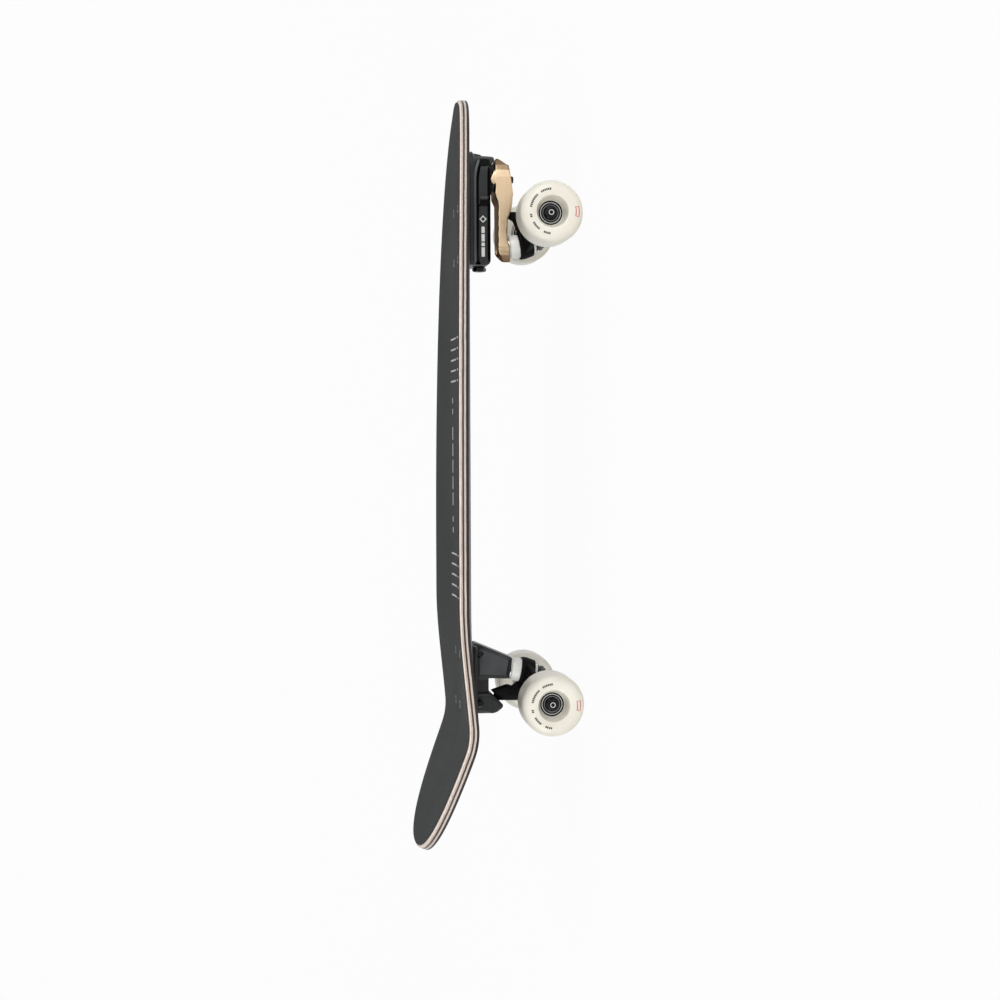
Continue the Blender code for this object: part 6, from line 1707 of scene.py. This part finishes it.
def arm_ears():
    """Two walls of the arm beside the housing's round boss, highest next to the swing axis."""
    outer, low = ARM_HEAD / 2 - EAR_INSET, ARM_TOP - EAR_SINK
    turns = [2 * math.pi * k / ROUND for k in range(ROUND)]
    ring = [(SWING_X + outer * math.cos(turn), outer * math.sin(turn)) for turn in turns]
    view = rounded([(SWING_X + x * MM, z * MM) for x, z in EAR_VIEW], 1.0 * MM, 4)
    block = mesh_of(prism(ring, low, HOUSING_BOTTOM - EAR_GAP))
    block = cut(block, [prism(view, -outer, outer, ACROSS)], "INTERSECT")
    return cut(block, [rod(THRUST_BOSS, low - MM, HOUSING_BOTTOM + MM, ROUND, at(SWING_X))])


def make_arm():
    """The gold arm: its side view cut to its plan, with soft edges, then bored."""
    half, low, high = ARM_HEAD / 2 + THROUGH, SHAFT_TIP_Z - ARM_NOSE_LOW, ARM_TOP + THROUGH
    side_view = prism(rounded(arm_side_view(), 0, 8), -half, half, ACROSS)
    block = cut(mesh_of(prism(arm_plan(), low, high)), [side_view], "INTERSECT")
    mesh = cast([shape_of(block), shape_of(arm_ears())], CAST_VOXEL, 5)
    bore, seat = SWING_BEARING[1] / 2 + 0.1 * MM, PIVOT_NUT_SEAT
    pocket = PIVOT_NUT_WIDTH / 2 / math.cos(math.radians(30)) + PIVOT_NUT_PLAY
    profile = [(0, high), (bore, high), (bore, seat), (pocket, seat), (pocket, low), (0, low)]
    grip = kingpin_grip(ARM_TOP - ARM_STEP - AXLE_HEIGHT)
    room = rod(THRUST_BOSS + BOSS_ROOM, ARM_TOP, HOUSING_BOTTOM + THROUGH, ROUND, at(SWING_X))
    cutters = [turned(profile, ROUND, at(SWING_X)), kingpin_bore("front", grip)]
    cutters += [pivot_seat("front", FRONT_PIVOT), room]
    piece("swing_arm_cast", cut(mesh, cutters), GOLD, "swing_assembly", "swing_arm", 40)
    return grip


def make_shaft():
    """The swing shaft with its crank and pin, its nut, thrust washer and two bearings."""
    body, place = "swing_assembly", at(SWING_X)
    outer, bore, width = SWING_BEARING[0] / 2, SWING_BEARING[1] / 2, SWING_BEARING[2]
    hub, tip = CRANK_HUB / 2, SHAFT_TIP / 2
    top, end, edge = CRANK_AT + CRANK_THICKNESS, PIVOT_NUT_SEAT + GAP, 0.5 * MM
    profile = [(0, top), (hub - edge, top), (hub, top - edge), (hub, CRANK_AT), (bore, CRANK_AT)]
    profile += [(bore, end), (tip, end)]
    threads(profile, tip, end - MM, SHAFT_TIP_Z + BEVEL, 1.0 * MM, 0.4 * MM)
    profile += [(tip - BEVEL, SHAFT_TIP_Z), (1.4 * MM, SHAFT_TIP_Z), (0, SHAFT_TIP_Z + MM)]
    half = CRANK_WIDTH / 2
    stop = SWING_X - CRANK_RADIUS - half
    arm = [(SWING_X, half, 0), (SWING_X, -half, 0), (stop, -half, half), (stop, half, half)]
    crank = prism(rounded(arm, 0, 10), CRANK_AT + GAP, top - GAP, edge=edge)
    low, high = SPRING_HEIGHT - SPRING_DIAMETER / 2, CRANK_AT + CRANK_THICKNESS / 2
    pin = rod(CRANK_PIN, low, high, 32, at(SWING_X - CRANK_RADIUS), edge)
    mesh = cut(mesh_of(turned(profile, SMALL_ROUND, place)), [crank, pin], "UNION")
    piece("swing_pivot_shaft_fine", mesh, DARK_STEEL, body, "swing_pivot_shaft", 25)

    wide, thick, edge = THRUST_WASHER[0] / 2, THRUST_WASHER[1], 0.3 * MM
    profile = [(bore + GAP, 0), (wide - edge, 0), (wide, edge), (wide, thick - edge)]
    profile += [(wide - edge, thick), (bore + GAP, thick)]
    # The washer's darkness is painted shade of the gap between housing and arm.
    fine("swing_thrust_washer", profile, ROUND, at(SWING_X, 0, THRUST_WASHER_AT), SHADE_DARK_ZINC, body, 30)
    span = (PIVOT_NUT_SEAT - GAP - PIVOT_NUT_HEIGHT, PIVOT_NUT_SEAT - GAP)
    make_lock_nut("swing_pivot_nut", PIVOT_NUT_WIDTH, SHAFT_TIP, *span, place, DARK_STEEL, body, down=True)

    inner, wall, hole = bore + 2.6 * MM, outer - 2.2 * MM, bore + 0.1 * MM
    race = [(outer, edge), (outer - edge, 0), (wall, 0), (wall, 2 * MM), (outer - 3 * MM, 2.4 * MM)]
    race += [(outer - 3 * MM, width - 2.4 * MM), (wall, width - 2 * MM), (wall, width)]
    race += [(outer - edge, width), (outer, width - edge)]
    core = [(hole, edge), (hole + edge, 0), (inner, 0), (inner, width)]
    core += [(hole + edge, width), (hole, width - edge)]
    seal = box(inner + 0.15 * MM, wall - 0.15 * MM, 0.4 * MM, width - 0.4 * MM)
    for word, low in (("lower", LOWER_SWING_BEARING_AT), ("upper", UPPER_SWING_BEARING_AT)):
        node, place = f"swing_{word}_bearing", at(SWING_X, 0, low)
        lathe(f"{node}_outer_race", race, ROUND, place, STEEL, "board", node, 30)
        lathe(f"{node}_inner_race", core, ROUND, place, STEEL, "board", None, 30)
        lathe(f"{node}_seal", seal, ROUND, place, SEAL, "board", None, 30)


def make_spring():
    """The centring spring with its ends drawn in, as a fine round wire."""
    start, end = SPRING_TAIL + SPRING_WIRE, SPRING_NOSE - SPRING_WIRE
    count = SPRING_CURLS * SPRING_STEPS
    points = [(SPRING_TAIL, 0, SPRING_HEIGHT)]
    for k in range(count + 1):
        share = k / count
        ease = min(1, 2 * SPRING_CURLS * min(share, 1 - share))
        radius = SPRING_DIAMETER / 2 * math.sin(math.radians(90) * ease)
        turn = 2 * math.pi * k / SPRING_STEPS
        y, rise = radius * math.cos(turn), radius * math.sin(turn)
        points.append((start + (end - start) * share, y, SPRING_HEIGHT + rise))
    points.append((SPRING_NOSE, 0, SPRING_HEIGHT))
    curve = bpy.data.curves.new("centring_spring_fine", "CURVE")
    curve.dimensions = "3D"
    curve.bevel_depth = SPRING_WIRE / 2
    curve.bevel_resolution = 4
    curve.use_fill_caps = True
    path = curve.splines.new("POLY")
    path.points.add(len(points) - 1)
    for spot, here in zip(path.points, points):
        spot.co = (*here, 1)
    piece("centring_spring_fine", curve, STEEL, "board", "centring_spring")


def make_adjuster():
    """The adjuster's hex head, its screw and the round anchor of the spring."""
    seat, end, edge = HOUSING_TAIL_X - GAP, ANCHOR_X + ANCHOR[1], 0.5 * MM
    flat, screw, anchor = ADJUSTER_HEAD_WIDTH / 2, ADJUSTER_SCREW / 2, ANCHOR[0] / 2
    low = seat - ADJUSTER_HEAD_HEIGHT
    profile = [(0, low + edge), (2.6 * MM, low + edge), (3.2 * MM, low), (flat - BEVEL, low)]
    profile += [(flat, low + 0.7 * MM, 6), (flat, seat - 0.7 * MM, 6), (flat, seat - 0.7 * MM)]
    profile += [(flat - edge, seat), (screw, seat)]
    threads(profile, screw, seat + MM, ANCHOR_X, 1.0 * MM, 0.4 * MM)
    profile += [(screw, ANCHOR_X), (anchor - edge, ANCHOR_X), (anchor, ANCHOR_X + edge)]
    profile += [(anchor, end - edge), (anchor - edge, end), (0, end)]
    place = along(X_AXIS, (0, 0, SPRING_HEIGHT))
    fine("tension_adjuster", profile, 72, place, DARK_STEEL, "adjuster", 25)


# Camera, floor and light

FLOOR_REACH = 4.0
FLOOR_ROWS = 24
FLOOR_BACK, FLOOR_BEND = 1.9, 0.7  # where it starts to bend up behind the board, and the bend's radius
WALL_TOP = 3.5
LIGHT_TARGET = Vector((0.0, 0.0, 0.08))


def add_camera():
    data = bpy.data.cameras.new("camera")
    data.sensor_width = 36.0
    data.lens = FOCAL_PIXELS * data.sensor_width / IMAGE_SIZE
    data.clip_start = 0.05
    camera = linked("camera", data)
    look = CAMERA_LOOK.normalized()
    side = look.cross(CAMERA_UP).normalized()
    axes = Matrix((side, side.cross(look), -look)).transposed().to_4x4()
    camera.matrix_world = at(*CAMERA_AT) @ axes
    bpy.context.scene.camera = camera


def node_in(tree, kind, *values, **settings):
    """A node whose inputs take links and values in their order, where None leaves one as it is."""
    made = tree.nodes.new("ShaderNode" + kind)
    for word, value in settings.items():
        setattr(made, word, value)
    for socket, value in zip(made.inputs, values):
        if isinstance(value, bpy.types.NodeSocket):
            tree.links.new(value, socket)
        elif value is not None:
            socket.default_value = value
    return made


def seen_straight(tree):
    """One where the camera, a mirror or glass sees the surface, else nothing."""
    path = node_in(tree, "LightPath")
    total = path.outputs["Is Camera Ray"]
    for word in ("Is Glossy Ray", "Is Transmission Ray"):
        total = node_in(tree, "Math", total, path.outputs[word], operation="MAXIMUM").outputs[0]
    return total


def light_world():
    world = bpy.data.worlds.new("studio")
    world.use_nodes = True
    bpy.context.scene.world = world
    tree = world.node_tree
    tree.nodes.clear()
    soft, plain = (node_in(tree, "Background", (1.0, 1.0, 1.0, 1.0), strength).outputs[0]
                   for strength in (SKY_STRENGTH, BACKDROP_WHITE))
    node_in(tree, "OutputWorld", node_in(tree, "MixShader", seen_straight(tree), soft, plain).outputs[0])


def floor_look():
    """A pale matt floor with faint grain, lifted towards white where it is looked at."""
    look = Look("floor", (0.86, 0.86, 0.86), 0.7)
    made = look.finish(look.mix(look.noise(60.0), (0.84, 0.84, 0.84), (0.88, 0.88, 0.88)))
    tree = made.node_tree
    out = next(node for node in tree.nodes if node.type == "OUTPUT_MATERIAL")
    glow = node_in(tree, "Emission", None, 1.0).outputs[0]
    share = node_in(tree, "Math", seen_straight(tree), FLOOR_LIFT, operation="MULTIPLY").outputs[0]
    blend = node_in(tree, "MixShader", share, look.shader.outputs[0], glow)
    tree.links.new(blend.outputs[0], out.inputs["Surface"])
    return made


def add_floor():
    """A floor that bends up into a wall behind the board."""
    path = [(-FLOOR_REACH, 0.0)]
    path += [(FLOOR_BACK + FLOOR_BEND * sine, FLOOR_BEND * (1 - cosine)) for sine, cosine in quarter(10)]
    path.append((FLOOR_BACK + FLOOR_BEND, WALL_TOP))
    shape = bmesh.new()
    across = [x for x, in line((-FLOOR_REACH,), (FLOOR_REACH,), FLOOR_ROWS)]
    skin(shape, [[shape.verts.new((x, y, z)) for x in across] for y, z in path], ring=False)
    mesh = mesh_of(shape, "floor")
    mesh.shade_smooth()
    mesh.materials.append(floor_look())
    linked("floor", mesh)


def add_lights():
    for name, place, size, power in LAMPS:
        data = bpy.data.lights.new(name, "AREA")
        data.shape = "RECTANGLE"
        data.size, data.size_y = size
        data.energy = power
        way = (LIGHT_TARGET - Vector(place)).normalized()
        linked(name, data).matrix_world = at(*place) @ way.to_track_quat("-Z", "Y").to_matrix().to_4x4()


# Making

def main():
    add_camera()
    make_deck()
    make_prints()
    make_bolts()
    make_riser()
    rear_grip = make_baseplate()
    make_housing()
    front_grip = make_arm()
    make_shaft()
    make_spring()
    make_adjuster()
    for end, pivot, grip, holder, upper in (("rear", REAR_PIVOT, rear_grip, "board", "boardside"),
                                            ("front", FRONT_PIVOT, front_grip, "swing_assembly", "armside")):
        carrier = f"{end}_axle_assembly"
        make_kingpin(end, holder, grip)
        make_stack(end, upper, holder)
        make_pivot_cup(end, pivot, holder)
        make_hanger(end, pivot, carrier)
        make_axle(end, carrier)
        for word, side in (("left", 1), ("right", -1)):
            make_wheel(end, word, side)
    add_floor()
    light_world()
    add_lights()
    bpy.context.scene.view_settings.view_transform = "Standard"


main()
